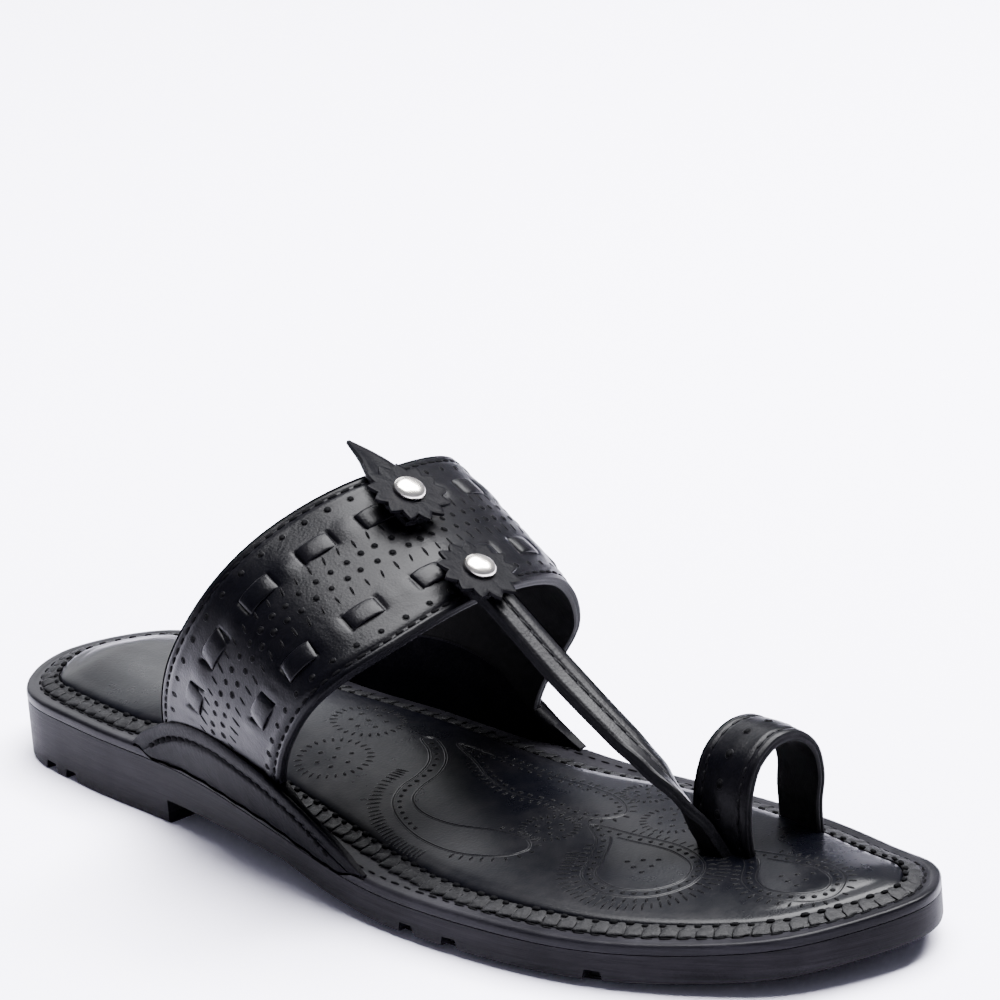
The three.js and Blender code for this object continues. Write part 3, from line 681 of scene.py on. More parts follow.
class Stamper:
    """Geometry Nodes tree that lays one shape along a path or at places."""

    def __init__(self, bench: Bench) -> None:
        """Builds both trees.

        Args:
            bench: The bench that places meshes.
        """
        self.bench = bench
        self.trees = {spread: self._tree(spread) for spread in Spread}

    @staticmethod
    def _tree(spread: Spread) -> bpy.types.NodeTree:
        """Builds the tree for one way of spreading.

        Args:
            spread: Along a path or at places.

        Returns:
            The tree, with named inputs.
        """
        tree = bpy.data.node_groups.new(f"repeat {spread.value}", "GeometryNodeTree")
        face = tree.interface
        face.new_socket("Geometry", in_out="INPUT", socket_type="NodeSocketGeometry")
        for name, kind in (("Shape", "Object"), ("Pitch", "Float"), ("Scale", "Vector"), ("Uneven", "Float"),
                           ("Sway", "Float"), ("Slant", "Float"), ("Ruffle", "Float"), ("Seed", "Int"),
                           ("Finish", "Material")):
            face.new_socket(name, in_out="INPUT", socket_type=f"NodeSocket{kind}")
        face.new_socket("Geometry", in_out="OUTPUT", socket_type="NodeSocketGeometry")

        def node(kind: str, settings: dict | None = None, **links: object) -> bpy.types.Node:
            """Adds a node and joins its inputs by name."""
            made = tree.nodes.new(kind)
            for key, value in (settings or {}).items():
                setattr(made, key, value)
            for key, value in links.items():
                number = key[1:]
                socket = made.inputs[int(number)] if number.isdigit() else made.inputs[key.replace("_", " ")]
                if isinstance(value, bpy.types.NodeSocket):
                    tree.links.new(value, socket)
                else:
                    socket.default_value = value
            return made

        given = node("NodeGroupInput").outputs
        if spread is Spread.ALONG:
            path = node("GeometryNodeMeshToCurve", Mesh=given["Geometry"]).outputs[0]
            places = node("GeometryNodeResampleCurve", {"mode": "LENGTH"}, Curve=path,
                          Length=given["Pitch"]).outputs[0]
        else:
            places = node("GeometryNodeMeshToPoints", Mesh=given["Geometry"]).outputs[0]
        heading, facing = (node("GeometryNodeInputNamedAttribute", {"data_type": "FLOAT_VECTOR"},
                                Name=name).outputs[0] for name in ("heading", "facing"))
        stand = node("FunctionNodeAxesToRotation", {"primary_axis": "Z", "secondary_axis": "X"},
                     Primary_Axis=facing, Secondary_Axis=heading).outputs[0]
        minus = node("ShaderNodeMath", {"operation": "MULTIPLY"}, _0=given["Sway"], _1=-1.0).outputs[0]
        sway = node("FunctionNodeRandomValue", {"data_type": "FLOAT"}, _2=minus, _3=given["Sway"],
                    Seed=given["Seed"]).outputs[1]
        angle = node("ShaderNodeMath", {"operation": "ADD"}, _0=sway, _1=given["Slant"]).outputs[0]
        euler = node("ShaderNodeCombineXYZ", Z=angle).outputs[0]
        turn = node("FunctionNodeEulerToRotation", Euler=euler).outputs[0]
        stand = node("FunctionNodeRotateRotation", {"rotation_space": "LOCAL"}, Rotation=stand,
                     Rotate_By=turn).outputs[0]
        least = node("ShaderNodeMath", {"operation": "SUBTRACT"}, _0=1.0, _1=given["Uneven"]).outputs[0]
        most = node("ShaderNodeMath", {"operation": "ADD"}, _0=1.0, _1=given["Uneven"]).outputs[0]
        size = node("FunctionNodeRandomValue", {"data_type": "FLOAT"}, _2=least, _3=most,
                    Seed=given["Seed"]).outputs[1]
        scale = node("ShaderNodeVectorMath", {"operation": "SCALE"}, _0=given["Scale"], Scale=size).outputs[0]
        shape = node("GeometryNodeObjectInfo", Object=given["Shape"]).outputs["Geometry"]
        copies = node("GeometryNodeInstanceOnPoints", Points=places, Instance=shape, Rotation=stand,
                      Scale=scale).outputs[0]
        real = node("GeometryNodeRealizeInstances", Geometry=copies).outputs[0]
        cloud = node("ShaderNodeTexNoise", Scale=620.0, Detail=3.0).outputs["Color"]
        centred = node("ShaderNodeVectorMath", {"operation": "SUBTRACT"}, _0=cloud,
                       _1=(0.5, 0.5, 0.5)).outputs[0]
        push = node("ShaderNodeVectorMath", {"operation": "SCALE"}, _0=centred,
                    Scale=given["Ruffle"]).outputs[0]
        rough = node("GeometryNodeSetPosition", Geometry=real, Offset=push).outputs[0]
        dressed = node("GeometryNodeSetMaterial", Geometry=rough, Material=given["Finish"]).outputs[0]
        node("NodeGroupOutput", Geometry=dressed)
        return tree

    def lay(self, name: str, shape: Piece, layout: Layout, repeat: Repeat, spread: Spread,
            finish: Finish) -> Piece:
        """Lays a shape out and gives back one plain mesh.

        Args:
            name: The new piece's name.
            shape: The object to repeat, standing on its own origin.
            layout: Where the copies go.
            repeat: How they vary.
            spread: Along a path or at places.
            finish: Their material.

        Returns:
            The piece.
        """
        count = len(layout.points)
        edges = []
        if spread is Spread.ALONG:
            edges = [(i, i + 1) for i in range(count - 1)] + ([(count - 1, 0)] if layout.closed else [])
        mesh = bpy.data.meshes.new(name)
        mesh.from_pydata(self.bench.row(layout.points).tolist(), edges, [])
        for key, values in (("facing", layout.facing), ("heading", layout.heading)):
            column = mesh.attributes.new(key, "FLOAT_VECTOR", "POINT")
            column.data.foreach_set("vector", np.asarray(values, np.float32).ravel())
        piece = show(name, mesh)
        modifier = piece.modifiers.new("repeat", "NODES")
        modifier.node_group = self.trees[spread]
        sizes = {"Shape": shape, "Pitch": repeat.pitch * MM, "Scale": repeat.scale,
                 "Uneven": repeat.uneven, "Sway": repeat.sway, "Slant": repeat.slant,
                 "Ruffle": repeat.ruffle * MM, "Seed": repeat.seed, "Finish": finish}
        for item in self.trees[spread].interface.items_tree:
            if item.in_out == "INPUT" and item.name in sizes:
                modifier[item.identifier] = sizes[item.name]
        graph = bpy.context.evaluated_depsgraph_get()
        made = bpy.data.meshes.new_from_object(piece.evaluated_get(graph))
        piece.modifiers.clear()
        piece.data = made
        made.shade_smooth()
        return piece


class Shapes:
    """Small shapes that are repeated many times, each a few dozen faces, standing on the origin."""

    def __init__(self) -> None:
        """Makes every small shape."""
        self.stitch = self._bead("stitch shape", 8, 6, 1.35, 0.36, 0.3)
        # Dark bead for each gap between lace loops: painted shade where the thongs dive under the insole's
        # edge.
        self.pit = self._bead("lace pit shape", 8, 5, 1.1, 0.62, 0.42, (2.1, 1.8, 0.4))
        self.rim = self._turned("hole rim shape", [(1.0, -0.06), (0.93, 0.05), (0.82, 0.06), (0.74, -0.02)],
                                12, False)
        # Dark disc a hair above the surface that carries the painted shade of a hole or pressed mark; no hole
        # is cut.
        self.floor = self._turned("hole floor shape", [(0.84, 0.05), (0.0, 0.035)], 12, True)
        self.loop = self._lace_loop()
        self.strip = self._woven_strip()

    @staticmethod
    def _object(name: str, points: Array, faces: list) -> Piece:
        """A helper object in metres from millimetres."""
        mesh = bpy.data.meshes.new(name)
        mesh.from_pydata((np.asarray(points, float) * MM).tolist(), [], faces)
        shape = show(name, mesh)
        bm = bmesh.new()
        bm.from_mesh(mesh)
        bmesh.ops.remove_doubles(bm, verts=bm.verts, dist=1e-7)
        if all(edge.is_manifold for edge in bm.edges):
            bmesh.ops.recalc_face_normals(bm, faces=bm.faces)
        bm.to_mesh(mesh)
        bm.free()
        return shape

    @staticmethod
    def _bead(name: str, around: int, along: int, half: float, wide: float, high: float,
              middle: Triple = (0, 0, 0)) -> Piece:
        """A long rounded bead that lies along X.

        Args:
            name: Its name.
            around: Facets round it.
            along: Rings between its two poles.
            half: Half its length.
            wide: Half its width.
            high: Half its height.
            middle: Where it stands.

        Returns:
            The shape.
        """
        angle = np.linspace(0, 2 * np.pi, around, endpoint=False)
        share = np.linspace(-1, 1, along + 2)[1:-1]
        girth = (1 - np.abs(share) ** 3.2) ** 0.5
        grid = np.stack([np.repeat(share[:, None] * half, around, 1), girth[:, None] * wide * np.cos(angle),
                         girth[:, None] * high * np.sin(angle) - 0.25 * high * (share[:, None] ** 2)], -1)
        points = np.vstack([grid.reshape(-1, 3), [[-half, 0, -0.3 * high], [half, 0, -0.3 * high]]]) + middle
        faces = shell(along, around)[1]
        last = along * around
        faces += [[last, (k + 1) % around, k] for k in range(around)]
        faces += [[last + 1, last - around + k, last - around + (k + 1) % around] for k in range(around)]
        return Shapes._object(name, points, faces)

    @staticmethod
    def _turned(name: str, profile: list, steps: int, capped: bool) -> Piece:
        """A small turned ring or disc.

        Args:
            name: Its name.
            profile: Radius and height pairs from outside in.
            steps: Facets round it.
            capped: Whether the last pair is its middle point.

        Returns:
            The shape.
        """
        angle = np.linspace(0, 2 * np.pi, steps, endpoint=False)
        rows = profile[:-1] if capped else profile
        points = [[r * math.cos(a), r * math.sin(a), z] for r, z in rows for a in angle]
        faces = shell(len(rows), steps)[1]
        if capped:
            points.append([0, 0, profile[-1][1]])
            base = (len(rows) - 1) * steps
            faces += [[base + k, base + (k + 1) % steps, len(points) - 1] for k in range(steps)]
            points.append([0, 0, profile[0][1] - 0.1])
            faces += [[(k + 1) % steps, k, len(points) - 1] for k in range(steps)]
        else:
            base = (len(rows) - 1) * steps
            faces += [[base + k, base + (k + 1) % steps, (k + 1) % steps, k] for k in range(steps)]
        return Shapes._object(name, points, faces)

    @staticmethod
    def _bar(name: str, points: Array, rows: int, count: int) -> Piece:
        """A bar of closed rows of points, with one face over each end."""
        index, faces = shell(rows, count)
        return Shapes._object(name, points, faces + [index[0][::-1].tolist(), index[-1].tolist()])

    @staticmethod
    def _lace_loop() -> Piece:
        """One whip of lacing: a flat thong bent over the welt, pinched where it dives under."""
        across = np.linspace(-1, 1, 8)
        ring = np.linspace(0, 2 * np.pi, 10, endpoint=False)
        points = []
        for v in across:
            pinch = 1 - 0.6 * max(v + 0.1, 0) ** 1.5
            lift = 1.25 - (0.35 * v ** 2 if v > 0 else 1.15 * abs(v) ** 3)
            for a in ring:
                points.append([1.95 * pinch * math.cos(a) + 0.3 * v, 2.35 * v,
                               lift + 0.42 * pinch * math.sin(a) + 0.12 * math.cos(3 * a + v)])
        return Shapes._bar("lace loop shape", points, len(across), len(ring))

    @staticmethod
    def _woven_strip() -> Piece:
        """The part of a woven strip that shows between two slits, arched along X."""
        along = np.linspace(-1, 1, 15)
        across = [-1.0, -0.96, -0.8, -0.3, 0.3, 0.8, 0.96, 1.0]
        points = []
        for u in along:
            rise = 0.95 * (1 - abs(u) ** 2.8) - 0.2
            for v in across:
                round_off = 0.28 * abs(v) ** 9
                points.append([4.5 * u, 2.75 * v, rise - round_off])
            for v in reversed(across):
                points.append([4.5 * u, 2.75 * v, rise - 0.95])
        return Shapes._bar("woven strip shape", points, len(along), 2 * len(across))

    def put_away(self) -> None:
        """Removes the helper objects."""
        for shape in (self.stitch, self.pit, self.rim, self.floor, self.loop, self.strip):
            bpy.data.objects.remove(shape)


# ---------------------------------------------------------------- the last: outline and rim of the sole
@dataclass
class Last:
    """Outline, rim height and side wall of the sole, in millimetres from the back of the heel."""
    length: float = 280
    heel_top: float = 18
    ball_top: float = 11.4
    waist: Pair = (75, 175)
    spring_start: float = 215
    toe_spring: float = 4.3
    tread_depth: float = 1.6
    room: float = 4.2
    heel_tip: Pair = (0, -1.5)
    toe_tip: Pair = (280, 12)
    outline: tuple[Triple, ...] = (   # x, big-toe side, little-toe side
        (12, 23.5, -24.5), (40, 30, -31.5), (80, 30, -35), (120, 35, -41.5), (160, 38, -48),
        (195, 41, -48), (225, 41, -43), (252, 35.5, -31), (270, 29.5, -16))
    sides: dict[str, Array] = field(default_factory=dict)

    def __post_init__(self) -> None:
        """Works out both sides, the whole outline and its outward directions."""
        rows = np.array(self.outline)
        for side, near, far in (("lateral", 2, 1), ("medial", 1, 2)):
            go = [(*self.heel_tip, 0), *((r[0], r[near], 0) for r in rows), (*self.toe_tip, 0)]
            back = [(r[0], r[far], 0) for r in rows[::-1]]
            half = Curve(go + back, closed=True).at(np.linspace(0, 0.5, 1201))
            arc = np.r_[0, np.cumsum(np.linalg.norm(np.diff(half, axis=0), axis=1))]
            even = np.linspace(0, arc[-1], SIDE_STEPS + 1)
            self.sides[side] = np.stack([np.interp(even, arc, half[:, k]) for k in range(3)], -1)
        self.loop = np.vstack([self.sides["lateral"], self.sides["medial"][1:-1][::-1]])
        chord = np.roll(self.loop, -1, axis=0) - np.roll(self.loop, 1, axis=0)
        self.out = unit(np.stack([chord[:, 1], -chord[:, 0], 0 * chord[:, 0]], -1))

    def spring(self, x: Array) -> Array:
        """How far the toe lifts off the floor."""
        share = (x - self.spring_start) / (self.length - self.spring_start)
        return self.toe_spring * np.clip(share, 0, 1) ** 2

    def rim(self, x: Array) -> Array:
        """Height of the sole's rim above the floor."""
        heel = ease(self.waist[1] - x, 0, self.waist[1] - self.waist[0])
        return self.ball_top + (self.heel_top - self.ball_top) * heel + self.spring(x)

    def foot(self, x: Array) -> Array:
        """Height of the side wall's lower edge."""
        return self.tread_depth * ease(x, 90, 120) + self.spring(x)

    def waist_room(self, x: Array) -> Array:
        """How much further in the lacing lies beside the ears."""
        return self.room * ease(x, 50, 85) * (1 - ease(x, 145, 195))

    def ring(self, inset: float, height: Callable[[Array], Array], room: bool = False,
             fine: int = 4) -> Array:
        """The outline moved inwards.

        Args:
            inset: How far.
            height: Height for each x.
            room: Whether the ears' room is added.
            fine: Points for each facet of the outline.

        Returns:
            Points round the sole, from the heel tip.
        """
        more = self.waist_room(self.loop[:, 0]) if room else 0 * self.loop[:, 0]
        moved = self.loop - self.out * (inset + more)[:, None]
        share = np.arange(len(moved) * fine) / (len(moved) * fine)
        smooth = Curve(moved, closed=True).at(share)
        smooth[:, 2] = height(smooth[:, 0])
        return smooth

    def shrunk(self, loop: Array, share: float, lift: float) -> Array:
        """A ring drawn in towards the spine of the sole.

        Args:
            loop: The ring to draw in.
            share: How much of the half width is left.
            lift: Height above the rim.

        Returns:
            The new ring.
        """
        count = len(loop)
        half = count // 2
        reach = half * 5 // SIDE_STEPS
        number = np.arange(count)
        k = np.clip(np.where(number <= half, number, count - number), reach, half - reach)
        spine = (loop[k] + loop[(count - k) % count]) / 2
        moved = spine + (loop - spine) * share
        moved[:, 2] = self.rim(moved[:, 0]) + lift
        return moved

    def side_at(self, side: str, x: Array) -> tuple[Array, Array]:
        """Point and outward direction on one side.

        Args:
            side: Which side.
            x: Distance from the heel.

        Returns:
            The points and the directions.
        """
        points = self.sides[side]
        fine = Curve(points).at(np.linspace(0, 1, 1400))
        at = np.stack([np.interp(x, fine[:, 0], fine[:, k]) for k in range(3)], -1)
        ahead = np.stack([np.interp(np.asarray(x) + 1, fine[:, 0], fine[:, k]) for k in range(3)], -1)
        run = unit(ahead - at)
        sign = 1 if side == "lateral" else -1
        return at, np.stack([run[..., 1] * sign, -run[..., 0] * sign, 0 * run[..., 0]], -1)


# ---------------------------------------------------------------- strap faces
class Face:
    """A bent strap's outer face: shares along and across it, and a lift off it, give a place."""
    length: float = 0.0

    def place(self, along: Array, across: Array, lift: Array) -> Array:
        """Places on or above the face."""
        raise NotImplementedError

    def width(self, along: Array) -> Array:
        """Width of the strap."""
        raise NotImplementedError

    def measure(self) -> None:
        """Works out the length of the face's middle line."""
        self.shares = np.linspace(0, 1, 601)
        line = self.place(self.shares, 0.5 + 0 * self.shares, 0 * self.shares)
        self.arc = np.r_[0, np.cumsum(np.linalg.norm(np.diff(line, axis=0), axis=1))]
        self.length = float(self.arc[-1])

    def share_at(self, distance: Array) -> Array:
        """Share along the face at a distance from its start."""
        return np.interp(distance, self.arc, self.shares)

    def up(self, along: Array, across: Array) -> Array:
        """Outward directions."""
        one = np.ones_like(along)
        return unit(self.place(along, across, one) - self.place(along, across, 0 * one))

    def relief(self, distance: Array, across: Array) -> Array:
        """Height of the finished grain side above the plain face."""
        return 0 * distance

    def layout(self, distance: Array, across: Array, lift: float = 0.0, angle: Array | float = 0.0) -> Layout:
        """Places on the finished face for a repeated shape.

        Args:
            distance: Distances along the middle line.
            across: Distances from the first edge.
            lift: Height above the finished face.
            angle: Turn of each shape in degrees.

        Returns:
            The layout.
        """
        along = self.share_at(np.asarray(distance, float))
        share = np.asarray(across, float) / self.width(along)
        up = self.up(along, share)
        ahead = self.place(np.minimum(along + 0.003, 1), share, 0 * along)
        behind = self.place(np.maximum(along - 0.003, 0), share, 0 * along)
        run = ahead - behind
        run = unit(run - up * np.sum(run * up, -1, keepdims=True))
        heading = turned(run, up, np.radians(angle) + 0 * along)
        rise = lift + self.relief(np.asarray(distance, float), np.asarray(across, float))
        return Layout(self.place(along, share, rise), up, heading)

    def seam(self, start: float, end: float, across: float, lift: float = 0.0, far: bool = False) -> Layout:
        """A line along the face at a steady distance from one edge.

        Args:
            start: Where it starts, from the strap's start.
            end: Where it ends.
            across: Distance from the edge.
            lift: Height above the face.
            far: Whether the distance is from the second edge.

        Returns:
            The layout of the line.
        """
        distance = np.linspace(start, end, max(24, int(abs(end - start) / 1.2)))
        inset = self.width(self.share_at(distance)) - across if far else 0 * distance + across
        return self.layout(distance, inset, lift)


EDGE_PROFILE = (                        # distance out, share of the thickness
    (0.0, 0.06), (0.16, 0.2), (0.2, 0.36), (0.02, 0.49), (0.2, 0.62), (0.18, 0.82), (0.0, 0.97))


@dataclass
class Strap:
    """How a strap's skin is laid over its face."""
    thickness: float
    steps: int
    across: Array
    lower: int = 9

    def skin(self, bench: Bench, name: str, face: Face,
             finishes: Sequence[Finish]) -> Piece:
        """Builds the strap.

        Args:
            bench: The bench.
            name: The piece's name.
            face: The face to follow.
            finishes: Grain side, cut edge and lining.

        Returns:
            The piece.
        """
        along = np.linspace(0, 1, self.steps)[:, None]
        width = face.width(along)
        across = self.across[None, :] + 0 * along
        distance = np.interp(along, face.shares, face.arc)
        top = face.place(along + 0 * across, across, face.relief(distance + 0 * across, across * width))
        out = np.array([o for o, _ in EDGE_PROFILE])[None, :]
        deep = np.array([d for _, d in EDGE_PROFILE])[None, :] * self.thickness
        front = face.place(along + 0 * out, 1 + out / width, -deep + 0 * along)
        rear = face.place(along + 0 * out, -out / width, -deep + 0 * along)[:, ::-1]
        under = np.linspace(1, 0, self.lower)[None, :]
        bottom = face.place(along + 0 * under, under + 0 * along, 0 * along - self.thickness + 0 * under)
        sections = np.concatenate([top, front, bottom, rear], axis=1)
        kinds = [0] * (top.shape[1] - 1) + [1] * (len(EDGE_PROFILE) + 1) + [2] * (self.lower - 1)
        kinds += [1] * (len(EDGE_PROFILE) + 1)
        piece = bench.tube(name, sections, kinds, 60)
        dress(piece, *finishes)
        return piece


@dataclass
class Shop:
    """Everything the sub-assemblies share: bench, last, finishes, shapes and stamper."""
    bench: Bench
    last: Last
    wardrobe: Wardrobe
    shapes: Shapes
    stamper: Stamper

    def enter(self, piece: Piece, slot: str, *nodes: str) -> None:
        """Puts a piece on the body and hides the nodes that it stands for.

        Args:
            piece: The piece.
            slot: Not used.
            *nodes: The nodes.
        """
        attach(piece, "root")
        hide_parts(*nodes)
        log.info("%s: %d faces", piece.name, len(piece.data.polygons))

    def stitches(self, name: str, line: Layout, slot: str, node: str, repeat: Repeat,
                 finish: Finish | None = None) -> None:
        """Sews a row along a line, in waxed thread where no other finish is given."""
        piece = self.stamper.lay(name, self.shapes.stitch, line, repeat, Spread.ALONG,
                                 finish or self.wardrobe.thread)
        self.enter(piece, slot, node)

    def holes(self, name: str, places: Layout, slot: str, node: str, repeat: Repeat,
              rim: Finish, floor: Finish) -> None:
        """Punches or presses a row of small marks, each a raised rim round a dark floor disc whose colour is
        painted shade.
        """
        for part, shape, finish in (("rims", self.shapes.rim, rim), ("floors", self.shapes.floor, floor)):
            piece = self.stamper.lay(f"{name}_{part}", shape, places, repeat, Spread.AT, finish)
            self.enter(piece, slot, node)


# ---------------------------------------------------------------- sole
@dataclass
class SoleUnit:
    """Moulded outsole with heel block, arched waist, notches and tread, and the rim layer on it."""
    shop: Shop
    rim_layer: float = 2.6
    tread_inset: float = 4.5
    arch: tuple[Pair, ...] = (
        (78.6, -1), (173, -1), (173, 1.6), (161, 2.7), (146, 3.9), (129, 6.2), (78.6, 6.2))
    breast_skew: float = 0.1
    notches: tuple[float, ...] = (25, 34, 174, 188, 228)
    notch: tuple[float, float, float, float] = (6, 4, 2.6, 6)   # foot, head, height, depth
    treads: tuple[Triple, ...] = ((178, 258, 10), (14, 62, 12))
    tread: Pair = (2.4, 1.3)

    def _prism(self, outline: Array, across: tuple[Array, Array]) -> Piece:
        """A bar of any section between two places.

        Args:
            outline: Its section as offsets from the places.
            across: Its two ends.

        Returns:
            The bar.
        """
        return self.shop.bench.tube("tool", np.stack([outline + end for end in across]))

    def build(self) -> None:
        """Makes and enters the outsole."""
        last, bench = self.shop.last, self.shop.bench
        top = lambda x: last.rim(x) - self.rim_layer
        rings = [last.ring(0.7, last.foot), last.ring(0.15, lambda x: last.foot(x) + 0.25),
                 last.ring(0, lambda x: last.foot(x) + 0.8)]
        rings += [last.ring(0, lambda x, s=s: last.foot(x) * (1 - s) + top(x) * s)
                  for s in (0.3, 0.5, 0.7, 0.9)]
        rings += [last.ring(0.05, lambda x: top(x) - 0.12), last.ring(0.2, lambda x: top(x) - 0.05)]
        sole = bench.loaf("outsole_body", np.stack(rings))
        skew = np.array([[1, self.breast_skew, 0], [0, 1, 0], [0, 0, 1]])
        arch = np.array([[x, 0, z] for x, z in self.arch])
        ends = [(arch + [0, y, 0]) @ skew.T for y in (-70, 70)]
        bench.carve(sole, bench.tube("arch tool", np.stack(ends)))
        pad = bench.loaf("tread tool", np.stack([last.ring(self.tread_inset, last.spring),
                                                 last.ring(self.tread_inset, lambda x: last.spring(x) + 4)]))
        block = np.array([[169.0, 0, -15], [300, 0, -15], [300, 0, 15], [169, 0, 15]])
        bench.carve(pad, self._prism(block, (np.array([0, -60, 0]), np.array([0, 60, 0]))), "INTERSECT")
        bench.carve(sole, pad, "UNION")
        wide, deep = self.tread
        for first, final, pitch in self.treads:
            for x in np.arange(first, final + 0.1, pitch):
                lift = float(last.spring(np.array(x))) + deep
                bar = np.array([[x - wide / 2, 0, lift - 4], [x + wide / 2, 0, lift - 4],
                                [x + wide / 2 - 0.3, 0, lift], [x - wide / 2 + 0.3, 0, lift]])
                bench.carve(sole, self._prism(bar, (np.array([0, -30, 0]), np.array([0, 30, 0]))))
        for side in last.sides:
            for x in self.notches:
                bench.carve(sole, self._notch(side, x))
        sole.data.materials.clear()
        sole.data.materials.append(self.shop.wardrobe.sole)
        self.shop.enter(sole, "sole_rubber", "outsole")

    def _notch(self, side: str, x: float) -> Piece:
        """The wedge that cuts one notch in the side wall."""
        last = self.shop.last
        point, out = last.side_at(side, np.array(float(x)))
        run = np.cross([0, 0, 1], out)
        foot, head, height, depth = self.notch
        low = float(last.foot(np.array(x)))
        corners = ((-foot / 2, -1), (foot / 2, -1), (head / 2, height), (-head / 2, height))
        section = np.array([run * a + np.array([0, 0, low + z]) for a, z in corners])
        return self._prism(section, (point + out * (1 - depth), point + out))

    def rim(self, rooms: Sequence[Piece]) -> None:
        """Makes the rim layer, cut away where the ears stand.

        Args:
            rooms: Bodies that take the ears' room.
        """
        last = self.shop.last
        profile = ((0.2, -2.58), (0.06, -2.5), (0, -2.3), (0, -0.95), (0.1, -0.5), (0.4, -0.12), (1.0, 0.0),
                   (2.2, 0.0), (2.6, -0.08), (3.1, 0.0), (6, 0.0))
        rings = [last.ring(inset, lambda x, z=z: last.rim(x) + z) for inset, z in profile]
        layer = self.shop.bench.loaf("rim_layer", np.stack(rings), 60)
        for room in rooms:
            self.shop.bench.carve(layer, room, sharp=60)
        layer.data.materials.clear()
        layer.data.materials.append(self.shop.wardrobe.rim)
        self.shop.enter(layer, "rim_leather", "midsole")


@dataclass
class LacedWelt:
    """Ring of whip lacing on the rim, with the row of sewing outside it and, inside, a row of dark beads
    painted as the shade between the loops.
    """
    shop: Shop
    outer: float = 4.2
    inner: float = 8.4
    slope: float = 0.2
    pitch: float = 4.2

    def _line(self, inset: float, lift: float, room: bool = True) -> Layout:
        """A closed line round the sole, whose shapes lean outwards and have the insole on their +Y side."""
        last = self.shop.last
        points = last.ring(inset, lambda x: last.rim(x) + lift, room)
        inward = last.ring(inset + 1, lambda x: last.rim(x) + lift, room) - points
        inward[:, 2] = 0
        inward = unit(inward)
        up = unit(np.array([0.0, 0.0, 1.0]) - inward * self.slope)
        return Layout(points, up, unit(np.cross(inward, up)), closed=True)

    def build(self) -> None:
        """Makes and enters the seat of the lacing, its loops and the rows beside it."""
        last, shop = self.shop.last, self.shop
        profile = ((self.outer + 0.1, 0.05), (self.outer, 0.2), (self.outer + 0.6, 0.55),
                   (self.inner - 0.9, 1.35), (self.inner - 0.1, 1.5), (self.inner + 0.1, 1.2),
                   (self.inner, 0.05))
        rings = [last.ring(i, lambda x, z=z: last.rim(x) + z, True) for i, z in profile]
        seat = shop.bench.hoop("welt_seat", np.stack(rings), 50)
        seat.data.materials.append(shop.wardrobe.welt)
        shop.enter(seat, "lacing", "welt_braid")
        middle = (self.outer + self.inner) / 2
        repeat = Repeat(self.pitch, (1.12, 0.98, 0.26), 0.08, 0.1, 0.2, 0.9, 7)
        loops = shop.stamper.lay("welt_lacing", shop.shapes.loop, self._line(middle, 0.7), repeat,
                                 Spread.ALONG, shop.wardrobe.lace)
        shop.enter(loops, "lacing", "welt_braid")
        # A row of dark beads between the loops, toward the insole: painted shade where the thongs dive under
        # the insole's edge.
        repeat = Repeat(self.pitch, (1, 1, 1), 0.12, 0.04, seed=9)
        gap_shade_piece = shop.stamper.lay("welt_pits", shop.shapes.pit, self._line(middle, 0.8), repeat,
                                Spread.ALONG, shop.wardrobe.shade)
        shop.enter(gap_shade_piece, "lacing", "welt_braid")
        sewing = Repeat(4.3, (1.05, 0.85, 0.7), 0.1, 0.08, 0.0, 0.15, 3)
        # The rim stitches take the hole finish: black thread with the painted shade of its sewing holes.
        shop.stitches("rim_stitches", self._line(3.55, 0.06, False), "rim_leather", "midsole", sewing,
                      shop.wardrobe.shade)


